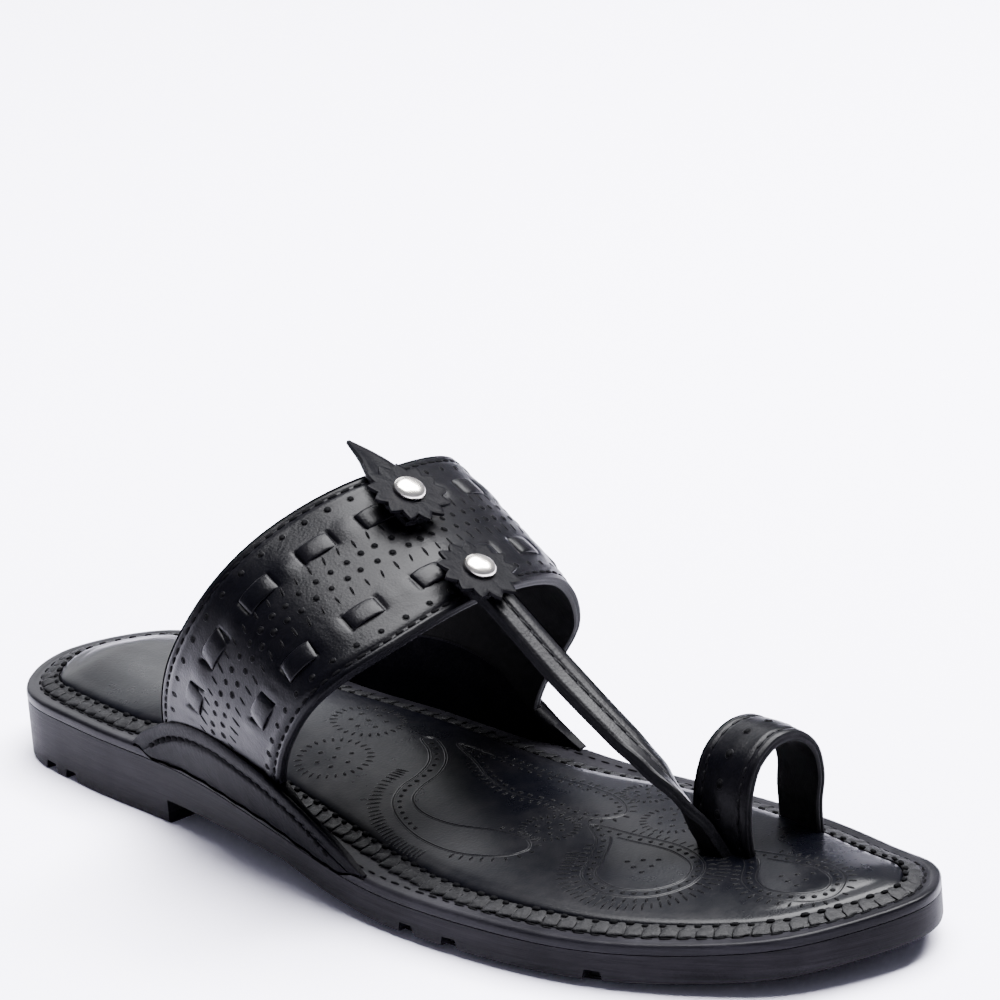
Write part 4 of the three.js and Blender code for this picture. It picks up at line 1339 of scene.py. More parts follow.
@dataclass
class Footbed:
    """Padded insole: rolled edge, crowned face and pressed ornament."""
    shop: Shop
    edge: tuple[Pair, ...] = (     # inset, lift
        (8.7, 0.3), (8.62, 0.9), (8.9, 1.7), (9.9, 2.35), (11.2, 2.75), (12.9, 3.15))
    crown: tuple[Pair, ...] = (    # share of the half width, lift
        (0.88, 3.6), (0.72, 4.1), (0.56, 4.5), (0.4, 4.75), (0.24, 4.9), (0.1, 4.95))

    def build(self) -> None:
        """Makes and enters the padded body."""
        last, shop = self.shop.last, self.shop
        rings = [last.ring(inset, lambda x, z=lift: last.rim(x) + z, True) for inset, lift in self.edge]
        rings += [last.shrunk(rings[-1], share, lift) for share, lift in self.crown]
        stack = np.stack(rings)
        across = Curve(stack.reshape(len(stack), -1))
        fine = across.at(np.linspace(0, 1, 3 * len(stack))).reshape(3 * len(stack), -1, 3)
        fine[..., 2] += self._sag(fine)
        pad = shop.bench.loaf("footbed_pad", fine, 70)
        pad.data.materials.append(shop.wardrobe.bed)
        shop.enter(pad, "footbed_leather", "insole")
        self.tree = BVHTree.FromObject(pad, bpy.context.evaluated_depsgraph_get())
        self._ornament()

    def _sag(self, points: Array) -> Array:
        """Shallow dips under heel and ball, and the slight puffing of a soft pad."""
        x, y = points[..., 0], points[..., 1]
        inside = np.linspace(0, 1, points.shape[0])[:, None] ** 0.6
        dip = -0.7 * hill(x, 38, 26) * hill(y, -1, 17) - 0.5 * hill(x, 205, 28) * hill(y, -4, 22)
        dip = dip - 1.0 * ease(x, 205, 262)
        puff = 0.16 * np.sin(x / 11.0 + 0.7 * np.sin(y / 9.0)) * np.cos(y / 8.0 + 0.4)
        return (dip + puff) * inside

    def _surface(self, points: Array, lift: float = 0.0) -> tuple[Array, Array]:
        """Drops plan points on the pad.

        Args:
            points: Places in plan.
            lift: Height to stand above the pad.

        Returns:
            The places and outward directions.
        """
        down = Vector((0, 0, -1))
        found, facing = [], []
        for x, y, _ in self.shop.bench.row(np.c_[points[:, :2], 0 * points[:, 0]]):
            hit, normal, _, _ = self.tree.ray_cast(Vector((x, y, 0.1)), down)
            if hit is None:
                hit, normal = Vector((x, y, 0.012)), Vector((0, 0, 1))
            found.append(hit)
            facing.append(normal if normal.z > 0 else -normal)
        facing = np.array(facing)
        return np.array(found) / MM - self.shop.bench.heel + facing * lift, facing

    def _marks(self, name: str, marks: Array, scale: Triple, seed: int) -> None:
        """Presses marks into the pad.

        Args:
            name: Name of the row.
            marks: Columns x, y and heading in radians.
            scale: Size of one mark.
            seed: Seed of its unevenness.
        """
        places, facing = self._surface(marks)
        heading = np.stack([np.cos(marks[:, 2]), np.sin(marks[:, 2]), 0 * marks[:, 2]], -1)
        wardrobe = self.shop.wardrobe
        repeat = Repeat(scale=scale, uneven=0.08, sway=0.05, seed=seed)
        # The marks' floors take the pressed-mark finish: painted shade in the pressed hollows.
        self.shop.holes(name, Layout(places, facing, heading), "footbed_leather", "insole", repeat,
                        wardrobe.bed, wardrobe.pressed)

    def _line(self, name: str, path: Array, closed: bool) -> None:
        """Presses one fine line into the pad.

        Args:
            name: Name of the piece.
            path: Plan points.
            closed: Whether it joins up.
        """
        places, facing = self._surface(path)
        ahead = np.roll(places, -1, 0) - np.roll(places, 1, 0)
        if not closed:
            ahead[0], ahead[-1] = places[1] - places[0], places[-1] - places[-2]
        side = unit(np.cross(facing, ahead))
        profile = ((-0.6, -0.1), (-0.4, 0.05), (-0.22, 0.06), (-0.14, 0.01), (0.14, 0.01), (0.22, 0.06),
                   (0.4, 0.05), (0.6, -0.1))
        # The groove's bottom strip takes the pressed-mark finish: painted shade in the pressed line.
        kinds = [0, 0, 0, 1, 0, 0, 0, 0]
        sections = np.stack([places + side * a + facing * z for a, z in profile], 1)
        if closed:
            sections = np.concatenate([sections, sections[:1]])
        piece = self.shop.bench.tube(name, sections, kinds, 70)
        dress(piece, self.shop.wardrobe.bed, self.shop.wardrobe.pressed)
        self.shop.enter(piece, "footbed_leather", "insole")

    def _ornament(self) -> None:
        """Lays out sunbursts, drop shapes and their dots and fringes."""
        bursts = ((107, 5, 8.6), (115.5, -14.5, 8.8), (182.5, -8.5, 6.6), (203, 12, 7.2), (186, 21, 6.0))
        drops = {
            "long": ((123.5, 7), (129.5, 3.6), (134.3, -1), (137.3, -7.6), (138.9, -15), (143, -21.5),
                     (151, -26.3), (162, -29.4), (174, -29.6), (184, -25.8), (186.8, -20), (182.5, -16.2),
                     (173, -16.8), (162, -20.2), (152, -20.3), (145.3, -17), (142.3, -11), (140.8, -4.6),
                     (137.2, 1.8), (131.5, 6.8), (125.5, 9.4)),
            "winged": ((131, 12), (142, 7), (152, 2.2), (162, 0.2), (172, 2), (181, 0.6), (189, 3.4),
                       (190.5, 9), (183, 14), (171, 15.6), (158, 14.2), (144, 14)),
            "round": ((189, -1), (202, 0.6), (216, 1.6), (227.5, -3), (232, -12.5), (228, -21.5), (218, -26),
                      (208, -23.5), (202.5, -15.5), (196.5, -7)),
            "toe": ((229, 8), (240, 11.5), (252, 12.2), (261, 8), (264, 0.8), (259.5, -6), (250, -8.6),
                    (241.5, -5.5), (235, 2.2)),
        }
        dots, ticks, fringe = [], [], []
        for x, y, radius in bursts:
            for k in range(26):
                angle = 2 * math.pi * k / 26
                ticks.append((x + radius * math.cos(angle), y + radius * math.sin(angle), angle))
            dots.append((x, y, 0))
            for k in range(6):
                angle = 2 * math.pi * k / 6 + 0.3 * x
                dots.append((x + 0.5 * radius * math.cos(angle), y + 0.5 * radius * math.sin(angle), angle))
        for name, outline in drops.items():
            curve = Curve([(*p, 0) for p in outline], closed=True)
            path = curve.at(np.linspace(0, 1, 150, endpoint=False))
            self._line(f"pressed_line_{name}", path, True)
            run = curve.run(np.linspace(0, 1, 150, endpoint=False))
            inward = np.stack([-run[:, 1], run[:, 0], 0 * run[:, 0]], -1)
            area = np.sum(path[:, 0] * np.roll(path[:, 1], -1) - np.roll(path[:, 0], -1) * path[:, 1])
            inward *= 1 if area > 0 else -1
            arc = np.r_[0, np.cumsum(np.linalg.norm(np.diff(path, axis=0), axis=1))]
            angle = np.arctan2(inward[:, 1], inward[:, 0])

            def beside(offset: float, pitch: float, first: float = 0, final: float = 1) -> list:
                """Places beside the drop's line at a pitch."""
                at = np.arange(arc[-1] * first, arc[-1] * final, pitch)
                return [(np.interp(s, arc, path[:, 0] + inward[:, 0] * offset),
                         np.interp(s, arc, path[:, 1] + inward[:, 1] * offset),
                         angle[int(np.searchsorted(arc, s))]) for s in at]

            if name == "long":
                dots += [(x, y, 0) for x, y, _ in beside(1.55, 2.9, 0.02, 0.3)]
                fringe += beside(-4.6, 1.35, 0.12, 0.36)
                ticks += beside(-1.7, 2.6, 0.4, 0.6)
            else:
                inner = path + inward * 3.2
                if name != "winged":
                    self._line(f"pressed_inner_{name}", inner[12:-12], False)
                dots += [(x, y, 0) for x, y, _ in beside(1.6, 3.1)]
                ticks += beside(-1.6, 2.4, 0.1, 0.9)
            if name in ("round", "toe"):
                middle = path.mean(0)
                for k in range(6):
                    turn = 2 * math.pi * k / 6 + 0.2
                    reach = 4.2 if k % 2 else 2.4
                    dots.append((middle[0] + 3 + reach * math.cos(turn),
                                 middle[1] + reach * math.sin(turn), 0))
            if name == "round":
                fringe += beside(-4.4, 1.5, 0.3, 0.86)
        self._marks("pressed_dots", np.array(dots), (0.72, 0.72, 1), 11)
        self._marks("pressed_ticks", np.array(ticks), (1.15, 0.42, 1), 12)
        self._marks("pressed_fringe", np.array(fringe), (1.9, 0.34, 1), 13)


# ---------------------------------------------------------------- instep band
class BandFace(Face):
    """Outer face of the instep band, between its rear and its front edge."""
    crown = 1.0
    stations = (                        # rear edge, front edge
        ((79, -32.8, 19.5), (128.5, -41, 16.5)), ((79.5, -37, 30.5), (129.2, -44.5, 25.8)),
        ((94.5, -44.7, 52.3), (140, -49.5, 42)), ((107.3, -39.3, 72.3), (151.5, -47.5, 56.2)),
        ((114, -23, 83.5), (160.5, -31.5, 65.3)), ((121.5, -1, 89.5), (162.5, -4, 69)),
        ((113, 35.5, 80.5), (154, 28.5, 60.5)), ((99.5, 41.5, 54.5), (144, 43.5, 42)),
        ((90, 32.3, 30), (137, 37, 26)), ((88, 29.5, 20), (135, 34.5, 17)))
    strip_rows = ((27.4, 17.6, 0.28), (39.4, 19.2, 0.76))   # first, pitch, share across
    stitch_inset = 2.1

    def __init__(self) -> None:
        """Lays the two edges."""
        self.rear = Curve([rear for rear, _ in self.stations])
        self.front = Curve([front for _, front in self.stations])
        self.measure()

    def width(self, along: Array) -> Array:
        """Width of the band."""
        return np.linalg.norm(self.front.at(along) - self.rear.at(along), axis=-1)

    def place(self, along: Array, across: Array, lift: Array) -> Array:
        """Places on or above the band."""
        v = np.asarray(across)[..., None]
        chord = lambda u: self.rear.at(u) * (1 - v) + self.front.at(u) * v
        run = chord(np.minimum(along + 0.002, 1)) - chord(np.maximum(along - 0.002, 0))
        up = unit(np.cross(self.front.at(along) - self.rear.at(along), run))
        rise = self.crown * np.sin(np.pi * along) * 4 * across * (1 - across) + lift
        return chord(along) + up * rise[..., None]

    def strips(self) -> list[Pair]:
        """Distance along and share across of every woven strip."""
        found = []
        for first, pitch, across in self.strip_rows:
            found += [(s, across) for s in np.arange(first, self.length - 22, pitch)]
        return found

    def relief(self, distance: Array, across: Array) -> Array:
        """Edge roll, sewing groove, slits and the humps beside them."""
        width = self.width(self.share_at(distance))
        edge = np.minimum(across, width - across)
        lift = -0.5 * (1 - ease(edge, 0, 1.0)) - 0.34 * hill(edge, self.stitch_inset, 0.55)
        lift += 0.16 * hill(edge, self.stitch_inset + 1.9, 1.0)
        for s, share in self.strips():
            side = hill(across, share * width, 3.6)
            body = 1 - ease(np.abs(across - share * width), 2.4, 3.0)
            away = np.abs(distance - s)
            lift += 0.32 * side * hill(away, 7.6, 2.2)
            lift -= 0.6 * body * hill(away, 4.65, 0.42)
        return lift + 0.12 * np.sin(distance / 6.3 + 1.3 * np.sin(across / 8)) * np.sin(across / 7.1)


@dataclass
class InstepBand:
    """The wide band: puckered leather with woven strips, punched rows and sewn edges."""
    shop: Shop
    face: BandFace = field(default_factory=BandFace)
    hem: float = 0.06
    hole_pitch: float = 6.6
    hole_inset: float = 5.4

    def build(self) -> None:
        """Makes and enters the band and everything sewn or woven into it."""
        shop, wardrobe = self.shop, self.shop.wardrobe
        across = np.r_[np.linspace(0, self.hem, 9)[:-1], np.linspace(self.hem, 1 - self.hem, 90),
                       np.linspace(1 - self.hem, 1, 9)[1:]]
        strap = Strap(BAND_THICKNESS, 400, across)
        band = strap.skin(shop.bench, "instep_band", self.face,
                          (wardrobe.strap, wardrobe.edge, wardrobe.lining))
        shop.enter(band, "strap_leather", "upper")
        spots = np.array(self.face.strips())
        width = self.face.width(self.face.share_at(spots[:, 0]))
        woven = self.face.layout(spots[:, 0], spots[:, 1] * width, 0.05)
        piece = shop.stamper.lay("woven_strips", shop.shapes.strip, woven,
                                 Repeat(uneven=0.03, sway=0.05, seed=4), Spread.AT, wardrobe.strap)
        shop.enter(piece, "strap_leather", "upper")
        for far, seed in ((False, 5), (True, 6)):
            name = "front" if far else "rear"
            line = self.face.seam(6, self.face.length - 6, self.face.stitch_inset, 0.1, far)
            # The band's stitches take the hole finish: black thread darkened with the painted shade of the
            # sewing groove.
            shop.stitches(f"band_stitches_{name}", line, "strap_leather", "upper",
                          Repeat(3.5, (0.95, 1.35, 1.1), 0.08, 0.07, 0.0, 0.0, seed), wardrobe.shade)
        self._punch()

    def _punch(self) -> None:
        """Punches the edge rows, the two rows of dots down the middle and the slanted cuts beside them."""
        face, shop, wardrobe = self.face, self.shop, self.shop.wardrobe
        rng = np.random.default_rng(21)
        edge = np.arange(10, face.length - 8, self.hole_pitch)
        width = face.width(face.share_at(edge))
        rows = [(s, self.hole_inset) for s in edge] + [(s, w - 4.9) for s, w in zip(edge + 2, width)]
        for start, share in ((14, 0.455), (16, 0.538)):
            even = np.arange(start, face.length - 12, 4.3)
            along = even + rng.normal(0, 0.2, len(even))
            across = share * face.width(face.share_at(along)) + rng.normal(0, 0.2, len(along))
            rows += list(zip(along, across))
        rows = np.array(rows)
        places = face.layout(rows[:, 0], rows[:, 1], 0.03)
        # The holes' floors are dark discs in painted shade; nothing is cut through the band.
        shop.holes("band_holes", places, "strap_leather", "upper",
                   Repeat(scale=(0.98, 0.98, 1), uneven=0.1, seed=8), wardrobe.strap, wardrobe.shade)
        cuts = []
        for share in (0.375, 0.618):
            along = np.arange(13, face.length - 12, 4.15)
            across = share * face.width(face.share_at(along)) + rng.normal(0, 0.2, len(along))
            cuts += list(zip(along, across, 82 + rng.normal(0, 6, len(along))))
        cuts = np.array(cuts)
        places = face.layout(cuts[:, 0], cuts[:, 1], 0.03, cuts[:, 2])
        # The cuts' floors are dark slivers in painted shade; nothing is cut through the band.
        shop.holes("band_cuts", places, "strap_leather", "upper",
                   Repeat(scale=(1.5, 0.36, 1), uneven=0.12, seed=9), wardrobe.strap, wardrobe.shade)


# ---------------------------------------------------------------- toe strap and toe loop
class ToeStrapFace(Face):
    """Ridged top of the toe strap, from under the front rosette down to the toes."""
    stations = (                        # x, y, z, turn in degrees
        (166, -2.9, 69.7, 5), (184, -1, 54.5, 3), (200.5, 0.8, 42, 8), (209, 1.9, 35.8, 20),
        (217, 3.3, 28, 48), (222, 4.9, 21, 70), (225, 6, 14.6, 78))
    on_band = (0.76, 0.85, 0.94)
    thickness = 2.7
    across = 8.5

    def __init__(self, band: BandFace, along: float) -> None:
        """Runs the middle line off the band and down to the toes.

        Args:
            band: The band's face.
            along: Share along the band where the strap starts.
        """
        share = np.array(self.on_band)
        start = band.place(along + 0 * share, share, self.thickness - GAP + 0 * share)
        self.line = Curve(np.vstack([start, np.array(self.stations)[:, :3]]))
        self.measure()

    def width(self, along: Array) -> Array:
        """Width of the toe strap."""
        return self.across + 0 * np.asarray(along, float)

    def place(self, along: Array, across: Array, lift: Array) -> Array:
        """Places on or above the toe strap."""
        middle = self.line.at(along)
        run = self.line.run(along)
        rows = np.array(self.stations)
        i = np.clip(np.searchsorted(rows[:, 0], middle[..., 0], side="right") - 1, 0, len(rows) - 2)
        t = np.clip((middle[..., 0] - rows[i, 0]) / (rows[i + 1, 0] - rows[i, 0]), 0, 1)
        turn = np.radians(rows[i, 3] + (rows[i + 1, 3] - rows[i, 3]) * t * t * (3 - 2 * t))
        side = unit(np.array([0.0, 1.0, 0.0]) - run * run[..., 1:2])
        side = turned(side, run, -turn)
        up = np.cross(run, side)
        ridge = -0.34 * np.abs(2 * across - 1) ** 1.2
        reach = ((across - 0.5) * self.across)[..., None]
        return middle + side * reach + up * (ridge + lift)[..., None]

    def relief(self, distance: Array, across: Array) -> Array:
        """Sewn groove down the ridge and softly rolled edges."""
        edge = np.minimum(across, self.across - across)
        groove = 0.42 * hill(across, self.across / 2, 0.42) * ease(distance, 6, 10)
        return -0.45 * (1 - ease(edge, 0, 0.9)) - groove + 0.12 * hill(across, 6.4, 1.0)


class LoopFace(Face):
    """Outer face of the toe loop, from its foot beside the strap over the toe."""
    rear = 217.0
    front = 233.5
    skew = -0.28
    profile = (                         # y, z
        (5.5, 13.4), (4.6, 18.5), (4.6, 25), (6.1, 32.2), (10, 38.6), (17.5, 42.2), (26, 41),
        (32, 35.5), (34, 28), (33, 21), (33, 13.2))

    def __init__(self) -> None:
        """Lays the profile."""
        self.line = Curve([(0, y, z) for y, z in self.profile])
        self.measure()

    def width(self, along: Array) -> Array:
        """Width of the loop."""
        return self.front - self.rear + 0 * np.asarray(along, float)

    def place(self, along: Array, across: Array, lift: Array) -> Array:
        """Places on or above the loop."""
        point, run = self.line.at(along), self.line.run(along)
        out = np.stack([0 * run[..., 0], -run[..., 2], run[..., 1]], -1)
        x = self.rear + (self.front - self.rear) * across
        drift = self.skew * ease(along, 0.35, 1) * (x - (self.rear + self.front) / 2)
        return np.stack([x, point[..., 1] + drift, point[..., 2]], -1) + out * np.asarray(lift)[..., None]

    def relief(self, distance: Array, across: Array) -> Array:
        """Rolled edges, two sewn grooves and a slight swell between them."""
        edge = np.minimum(across, self.front - self.rear - across)
        wave = 0.06 * np.sin(distance / 4.1 + across / 3)
        swell = 0.25 * hill(across, 8.25, 3.5)
        return -0.5 * (1 - ease(edge, 0, 1)) - 0.32 * hill(edge, 2.4, 0.5) + swell + wave


@dataclass
class ToeWork:
    """Toe strap and toe loop with their sewing and punched holes."""
    shop: Shop
    band: BandFace
    along: float = 0.551

    def build(self) -> None:
        """Makes and enters both."""
        shop, wardrobe = self.shop, self.shop.wardrobe
        finishes = (wardrobe.strap, wardrobe.edge, wardrobe.lining)
        strap = ToeStrapFace(self.band, self.along)
        skin = Strap(strap.thickness, 260, np.linspace(0, 1, 34))
        piece = skin.skin(shop.bench, "toe_strap", strap, finishes)
        shop.enter(piece, "strap_leather", "upper")
        line = strap.seam(12, strap.length - 9, 4.25, 0.12)
        shop.stitches("toe_strap_stitches", line, "strap_leather", "upper",
                      Repeat(4.0, (1.15, 0.8, 0.8), 0.08, 0.06, 0.0, 0.0, 14))
        loop = LoopFace()
        piece = Strap(2.4, 200, np.linspace(0, 1, 44)).skin(shop.bench, "toe_loop", loop, finishes)
        shop.enter(piece, "strap_leather", "upper")
        for far in (False, True):
            name = "front" if far else "rear"
            line = loop.seam(4, loop.length - 4, 2.4, 0.1, far)
            shop.stitches(f"loop_stitches_{name}", line, "strap_leather", "upper",
                          Repeat(3.8, (1.02, 1.0, 1.0), 0.08, 0.07, 0.0, 0.0, 15 + far))
        distance = np.arange(12.0, loop.length - 10, 7.2)
        places = loop.layout(distance, 8.2 + 0 * distance, 0.03)
        # The holes' floors are dark discs in painted shade; nothing is cut through the loop.
        shop.holes("loop_holes", places, "strap_leather", "upper",
                   Repeat(scale=(1.25, 1.1, 1.6), uneven=0.08, seed=17), wardrobe.strap, wardrobe.shade)


# ---------------------------------------------------------------- ears
@dataclass
class Ear:
    """Sewn wall on the sole's edge that takes the foot of the band."""
    shop: Shop
    side: str
    rows: tuple[Triple, ...]   # x, rise, thickness
    lean: float = 4.6
    sink: float = 2.6
    tongue: float = 0.9
    seam: float = 4.6

    def _sections(self, share: Array, grow: float = 0.0) -> Array:
        """Closed sections of the wall.

        Args:
            share: Shares along the ear.
            grow: How much thicker all round.

        Returns:
            Points, one row for each share.
        """
        last = self.shop.last
        line = Curve(self.rows).at(share)
        x, rise, thick = line[:, 0], line[:, 1], line[:, 2]
        point, out = last.side_at(self.side, x)
        full = np.clip(rise / max(r for _, r, _ in self.rows), 0, 1)
        lean = self.lean * full
        ragged = 0.3 * np.sin(x / 2.3) * np.sin(x / 3.7 + 1)
        low = last.rim(x) + GAP - self.sink * ease(full, 0.02, 0.4) - grow * 5 + ragged
        high = last.rim(x) + GAP + self.tongue * (0.45 + 0.55 * ease(full, 0, 0.2)) + rise + grow
        tall = high - low
        ply = np.clip(tall / 12, 0.15, 1)
        span = np.maximum(tall, 0.1)
        groove = np.clip(1 - self.seam / span, 0, 1)
        bulge = 0.5 * full

        def column(up: Array, inset: Array) -> Array:
            """Points at a share of the height, so far in from the sole's edge."""
            at = point - out * inset[:, None]
            at[:, 2] = low + tall * up
            return at

        def outer(up: Array, more: Array) -> Array:
            """Points of the outer face at a share of the height."""
            swell = np.sin(np.pi * np.clip(up / np.maximum(groove, 0.05), 0, 1)) * bulge
            return column(up, more - lean * up - swell * 0.8 - grow)

        def inner(up: Array, more: Array) -> Array:
            """Points of the inner face at a share of the height."""
            return column(up, thick - lean * up + grow - more)

        ones = np.ones_like(x)
        top = np.clip(1 - 1.6 * ply / span, 0, 1)
        pleat = 0.06 * full * np.sin(2 * np.pi * x / 2.3 + 1.4 * np.sin(x / 3.1) + 0.9 * np.sin(x / 1.3))
        columns = [outer(0 * ones, 0.3 + full), outer(0.05 * ones, 0.2 + 0.7 * full),
                   outer(0.09 * ones, 0.15 * ones)]
        columns += [outer(groove * s, pleat * s ** 8) for s in (0.16, 0.3, 0.5, 0.7, 0.84, 0.93)]
        columns.append(outer(groove, 1.0 * full))
        columns += [outer(groove + (top - groove) * s, -0.15 * ply * math.sin(math.pi * s))
                    for s in (0.15, 0.4, 0.7, 1.0)]
        columns += [outer(top + (1 - top) * 0.6, 0.25 * ply), outer(ones, 0.75 * ply),
                    outer(ones, 1.25 * ply), outer(1 - 0.5 * ply / span, 1.5 * ply),
                    outer(ones - 0.1 / span, 1.8 * ply), inner(ones, 0.5 * ply)]
        columns += [inner(up, 0 * ones) for up in (top, 0.5 * ones, 0 * ones)]
        return np.stack(columns, 1)

    def room(self) -> Piece:
        """A body that takes a little more than the ear's room."""
        return self.shop.bench.tube("ear room", self._sections(np.linspace(0, 1, 80), GAP * 0.6))

    def build(self, band: Piece) -> None:
        """Makes and enters the ear with its sewing.

        Args:
            band: A body that takes the band's room, to cut the slot for it.
        """
        shop, wardrobe = self.shop, self.shop.wardrobe
        piece = shop.bench.tube(f"ear_{self.side}_wall", self._sections(np.linspace(0, 1, 420)), sharp=70)
        piece.data.materials.append(wardrobe.trim)
        shop.bench.carve(piece, band, sharp=60)
        shop.enter(piece, "trim_leather", f"ear_{self.side}")
        line = self._sections(np.linspace(0.14, 0.86, 90))
        groove = line[:, 9]
        out = unit(groove - line[:, -2])
        layout = Layout(groove + out * 1.2, out, unit(np.gradient(groove, axis=0)))
        # The ear's stitches take the hole finish: black thread darkened with the painted shade of the sewing
        # groove.
        shop.stitches(f"ear_{self.side}_stitches", layout, "trim_leather", f"ear_{self.side}",
                      Repeat(3.3, (1.05, 1.8, 1.0), 0.12, 0.1, 0.0, 0.15, 24), wardrobe.shade)


# ---------------------------------------------------------------- rosettes, leaf tip and rivets
@dataclass
class Fastening:
    """A rivet through a pinked rosette, standing on the band."""
    shop: Shop
    band: BandFace
    name: str
    along: float
    across: float
    lift: float
    radius: float = 10.4
    root: float = 8.1
    teeth: int = 13
    turn: float = 0.1
    ply: float = 1.0
    head: float = 4.0
    dome: float = 2.0
    plate: float = 2.4
    shank: float = 1.5

    def stand(self, lift: float) -> Array:
        """Matrix that stands +Z on the band and +X forward, at a lift."""
        share = np.array([self.along])
        up = self.band.up(share, np.array([self.across]))[0]
        forward = (self.band.front.at(share) - self.band.rear.at(share))[0]
        forward = unit(forward - up * forward.dot(up))
        place = np.eye(4)
        place[:3, 0], place[:3, 1], place[:3, 2] = forward, np.cross(up, forward), up
        place[:3, 3] = self.band.place(share, np.array([self.across]), np.array([lift]))[0]
        return place

    def _disc(self, name: str, radius: float, root: float, low: float, high: float, turn: float,
              curl: float, seed: int, face: Finish) -> Piece:
        """One pinked layer.

        Args:
            name: Its name.
            radius: Radius at the points of the teeth.
            root: Radius between them.
            low: Height of its underside.
            high: Height of its top at the rivet.
            turn: How far it is turned.
            curl: How far its edge lifts.
            seed: Seed of its unevenness.
            face: Finish of its faces; its side shows the cut edge.

        Returns:
            The layer.
        """
        rng = np.random.default_rng(seed)
        steps = 10 * self.teeth
        angle = np.linspace(0, 2 * np.pi, steps, endpoint=False)
        tooth = 1 - np.abs(((angle * self.teeth / (2 * np.pi)) % 1) * 2 - 1)
        uneven = np.repeat(rng.normal(0, 0.08, self.teeth), 10)
        edge = root + (radius - root) * tooth + uneven * tooth
        lift = np.repeat(rng.normal(0, 0.04, self.teeth), 10) * tooth + 0.15 * np.sin(2 * angle + seed)

        def ring(share: float, height: Array) -> Array:
            """One ring of the layer at a share of its radius."""
            reach = edge * share
            return np.stack([reach * np.cos(angle), reach * np.sin(angle), height + 0 * angle], -1)

        upper = (0.16, 0.4, 0.62, 0.78, 0.88, 0.95, 0.985, 1.0)
        rings = [ring(s, high + (curl + lift) * s ** 4 - 0.1 * (s > 0.97) - 0.05 * hill(s, 0.8, 0.06))
                 for s in upper]
        rings += [ring(s, low + (curl + lift) * s ** 4) for s in (1.0, 0.8, 0.5, 0.16)]
        place = self.stand(0)
        cos, sin = math.cos(turn), math.sin(turn)
        spin = np.array([[cos, -sin, 0], [sin, cos, 0], [0, 0, 1]])
        grid = np.stack(rings) @ spin.T @ place[:3, :3].T + place[:3, 3]
        piece = self.shop.bench.hoop(name, grid, 45)
        numbers = np.zeros(len(piece.data.polygons), np.int32)
        side = len(upper) - 1
        numbers[side * steps:(side + 1) * steps] = 1
        dress(piece, face, self.shop.wardrobe.edge)
        piece.data.polygons.foreach_set("material_index", numbers)
        return piece

    def build(self) -> None:
        """Makes and enters the rosette's two layers and the rivet."""
        shop = self.shop
        top = self.lift + 2 * self.ply
        lower = self._disc(f"rosette_{self.name}_lower", self.radius - 2.1, self.root - 0.9, self.lift,
                           self.lift + self.ply, self.turn + math.pi / self.teeth, -0.2, 31,
                           shop.wardrobe.lining)
        upper = self._disc(f"rosette_{self.name}_upper", self.radius, self.root,
                           self.lift + self.ply + 0.05, top, self.turn, -0.05, 32 + len(self.name),
                           shop.wardrobe.trim)
        for piece in (lower, upper):
            shop.enter(piece, "trim_leather", f"rosette_{self.name}")
        under = top + GAP
        foot = -BAND_THICKNESS - 0.8
        profile = [(0, foot - 0.7), (self.plate - 0.2, foot - 0.7), (self.plate, foot - 0.5),
                   (self.plate, foot), (self.shank, foot), (self.shank, under - 0.2),
                   (self.head - 0.3, under - 0.25), (self.head - 0.08, under - 0.18), (self.head, under)]
        for k in range(1, 12):
            angle = k / 12 * math.pi / 2
            profile.append((self.head * math.cos(angle), under + 0.1 + self.dome * math.sin(angle) ** 0.9))
        profile.append((0, under + 0.1 + self.dome))
        rivet = shop.bench.lathe(f"rivet_{self.name}_turned", profile, 56, self.stand(0))
        rivet.data.materials.append(shop.wardrobe.nickel)
        shop.enter(rivet, "rivet_nickel", f"rivet_{self.name}")


@dataclass
class LeafTip:
    """Pointed tab that starts under the rear rosette and stands out behind the band."""
    shop: Shop
    fastening: Fastening
    thickness: float = 1.5
    lift: float = 0.9
    stations: tuple[tuple[float, float, float, float], ...] = (   # back, side, half width, droop
        (-7, -1.2, 4.2, 0), (2, 0.3, 5.2, 0), (10, 1.7, 5, 0), (18, 3.1, 2.7, 1.1), (26.3, 4.3, 0.4, 2.9))
    section: tuple[Triple, ...] = (           # share of half width, fold, thickness
        (-1, 0, 0.1), (-0.97, 0, 0.85), (-0.85, 0, 1), (-0.5, 0.5, 1), (0, 1, 1), (0.5, 0.5, 1),
        (0.85, 0, 1), (0.97, 0, 0.85), (1, 0, 0.1), (0.6, 0.2, 0), (0, 0.9, 0), (-0.6, 0.2, 0))

    def build(self) -> None:
        """Makes and enters the tab."""
        line = Curve([(-back, side, -droop) for back, side, _, droop in self.stations])
        wide = Curve([(half, 0, 0) for _, _, half, _ in self.stations])
        share = np.linspace(0, 1, 60)
        middle, half = line.at(share), wide.at(share)[:, 0]
        columns = []
        thin = self.thickness * (0.55 + 0.45 * np.clip(half / 3, 0, 1))
        fold = 0.35 * np.clip(half / 4, 0, 1)
        for side, high, ply in self.section:
            columns.append(np.stack([middle[:, 0], middle[:, 1] + side * half,
                                     middle[:, 2] + thin * ply - fold * high], -1))
        place = self.fastening.stand(self.lift)
        sections = np.stack(columns, 1) @ place[:3, :3].T + place[:3, 3]
        kinds = [1, 0, 0, 0, 0, 0, 0, 1, 1, 0, 0, 1]
        piece = self.shop.bench.tube("leaf_tab", sections, kinds, 50)
        dress(piece, self.shop.wardrobe.trim, self.shop.wardrobe.edge)
        self.shop.enter(piece, "trim_leather", "leaf_tip")


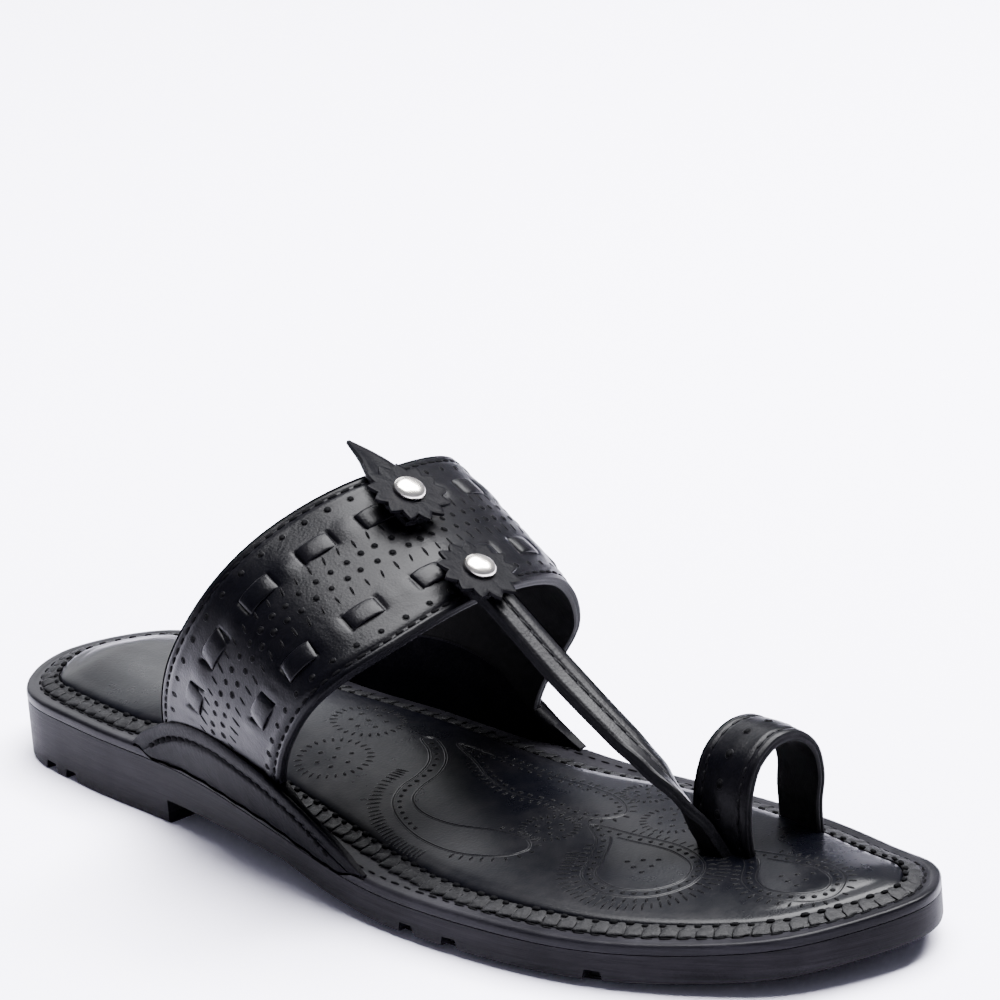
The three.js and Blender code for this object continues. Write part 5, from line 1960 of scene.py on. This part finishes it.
# ---------------------------------------------------------------- studio
@dataclass
class Studio:
    """Pale floor, soft light and the camera."""
    target: Triple = (-0.0991, 0.1193, 0.03)
    distance: float = 1.5612
    azimuth: float = -42.845
    elevation: float = 19.889
    roll: float = -4.987
    lens: float = 214.2
    world: Triple = (0.82, 0.84, 1.0)
    strength: float = 0.3
    reach: float = 14
    softboxes: tuple[tuple, ...] = (              # name, place, aim, size, watts, tone
        ("overhead softbox", (-0.1, 0.46, 1.43), (-0.08, 0.1, 0), (1.2, 1.4), 258, (0.98, 0.98, 1)),
        ("strap softbox", (0.22, 1.05, 1.2), (-0.02, 0, 0.06), (0.55, 0.5), 40, (0.98, 0.98, 1)),
        ("back softbox", (-1.75, 0.9, 0.75), (0, 0, 0.02), (1.2, 0.65), 12, (0.97, 0.98, 1)),
        ("side softbox", (0.2, -1.7, 0.7), (0, 0, 0.03), (0.9, 0.7), 0.6, (1, 1, 1)))

    def camera(self) -> None:
        """Sets up the camera."""
        az, el, roll = (math.radians(a) for a in (self.azimuth, self.elevation, self.roll))
        back = Vector((math.cos(el) * math.cos(az), math.cos(el) * math.sin(az), math.sin(el)))
        right = (-back).cross(Vector((0, 0, 1))).normalized()
        up = right.cross(-back)
        side = right * math.cos(roll) + up * math.sin(roll)
        top = up * math.cos(roll) - right * math.sin(roll)
        turn = Matrix((side, top, back)).transposed().to_4x4()
        data = bpy.data.cameras.new("camera")
        data.lens = self.lens
        data.sensor_width = 36
        data.clip_start = 0.05
        camera = show("camera", data)
        camera.matrix_world = Matrix.Translation(Vector(self.target) + back * self.distance) @ turn
        bpy.context.scene.camera = camera

    def _softbox(self, name: str, place: Sequence[float], aim: Sequence[float], size: Pair,
                 power: float, tone: Sequence[float]) -> None:
        """Hangs one soft light.

        Args:
            name: Its name.
            place: Where it hangs.
            aim: What it points at.
            size: Width and height.
            power: Watts.
            tone: Colour.
        """
        data = bpy.data.lights.new(name, "AREA")
        data.shape = "RECTANGLE"
        data.size, data.size_y = size
        data.energy = power
        data.color = tone
        light = show(name, data)
        light.location = place
        light.rotation_euler = (Vector(aim) - Vector(place)).to_track_quat("-Z", "Y").to_euler()
        light.visible_camera = False

    def build(self) -> None:
        """Lays the floor, hangs the lights and sets the world's light."""
        sweep = bpy.data.meshes.new("floor")
        corners = ((-1, -1, 0), (1, -1, 0), (1, 1, 0), (-1, 1, 0))
        sweep.from_pydata([[c * self.reach for c in corner] for corner in corners], [], [(0, 1, 2, 3)])
        floor = show("floor", sweep)
        sweep.materials.append(Sweep("studio floor").material())
        world = bpy.data.worlds.new("studio")
        world.use_nodes = True
        world.node_tree.nodes["Background"].inputs["Color"].default_value = (*self.world, 1)
        world.node_tree.nodes["Background"].inputs["Strength"].default_value = self.strength
        bpy.context.scene.world = world
        for softbox in self.softboxes:
            self._softbox(*softbox)


# ---------------------------------------------------------------- the whole sandal
LATERAL_EAR = (                         # x, rise, thickness
    (63, 0, 1.4), (72, 5.4, 4.6), (86, 11.6, 6.3), (103, 14.8, 6.3), (121, 13.6, 6), (130, 12, 5),
    (139, 9.4, 3.2), (149, 5.4, 2.7), (160, 0, 1.2))
MEDIAL_EAR = (
    (66, 0, 2.6), (76, 6, 5), (90, 12.5, 6.3), (106, 15, 6.3), (122, 13, 6.3), (135, 6.4, 5.6),
    (142, 2.8, 3.4), (149, 0, 2.4))


def band_room(bench: Bench, face: BandFace, grow: float = 0.25) -> Piece:
    """A body a little thicker than the band, to cut the ears' slots with.

    Args:
        bench: The bench.
        face: The band's face.
        grow: How much thicker.

    Returns:
        The body.
    """
    along = np.linspace(0, 1, 160)[:, None]
    across = np.linspace(-grow / BAND_WIDTH, 1 + grow / BAND_WIDTH, 9)[None, :]
    top = face.place(along + 0 * across, across + 0 * along, grow + 0 * along + 0 * across)
    low = face.place(along + 0 * across, across[:, ::-1] + 0 * along,
                     0 * along - BAND_THICKNESS - grow + 0 * across)
    sections = np.concatenate([top, low], 1)
    for end, beside in ((0, 1), (-1, -2)):
        sections[end] += unit(sections[end] - sections[beside]) * 2
    return bench.tube("band room", sections)


def build_sandal(frame: dict) -> None:
    """Builds every piece in order.

    Args:
        frame: The loaded frame.
    """
    low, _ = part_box("outsole")
    last = Last()
    shift = np.array([low[0] / MM, low[1] / MM - last.loop[:, 1].min()])
    bench = Bench(shift)
    log.info("%d nodes, heel at %.2f, %.2f mm", len(frame["nodes"]), *shift)
    shop = Shop(bench, last, Wardrobe(), Shapes(), Stamper(bench))
    band = InstepBand(shop)
    ears = [Ear(shop, "lateral", LATERAL_EAR), Ear(shop, "medial", MEDIAL_EAR)]
    sole = SoleUnit(shop)
    sole.build()
    sole.rim([ear.room() for ear in ears])
    LacedWelt(shop).build()
    Footbed(shop).build()
    band.build()
    for ear in ears:
        ear.build(band_room(bench, band.face))
    ToeWork(shop, band.face).build()
    rear = Fastening(shop, band.face, "rear", 0.556, 0.3, 3.1)
    front = Fastening(shop, band.face, "front", 0.551, 0.925, 3.2)
    for fastening in (rear, front):
        fastening.build()
    LeafTip(shop, rear).build()
    shop.shapes.put_away()


def main() -> None:
    """Loads the frame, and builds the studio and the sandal."""
    logging.basicConfig(level=logging.INFO, format="%(name)s %(message)s")
    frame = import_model()
    studio = Studio()
    studio.camera()
    studio.build()
    build_sandal(frame)


if __name__ == "__main__":
    main()
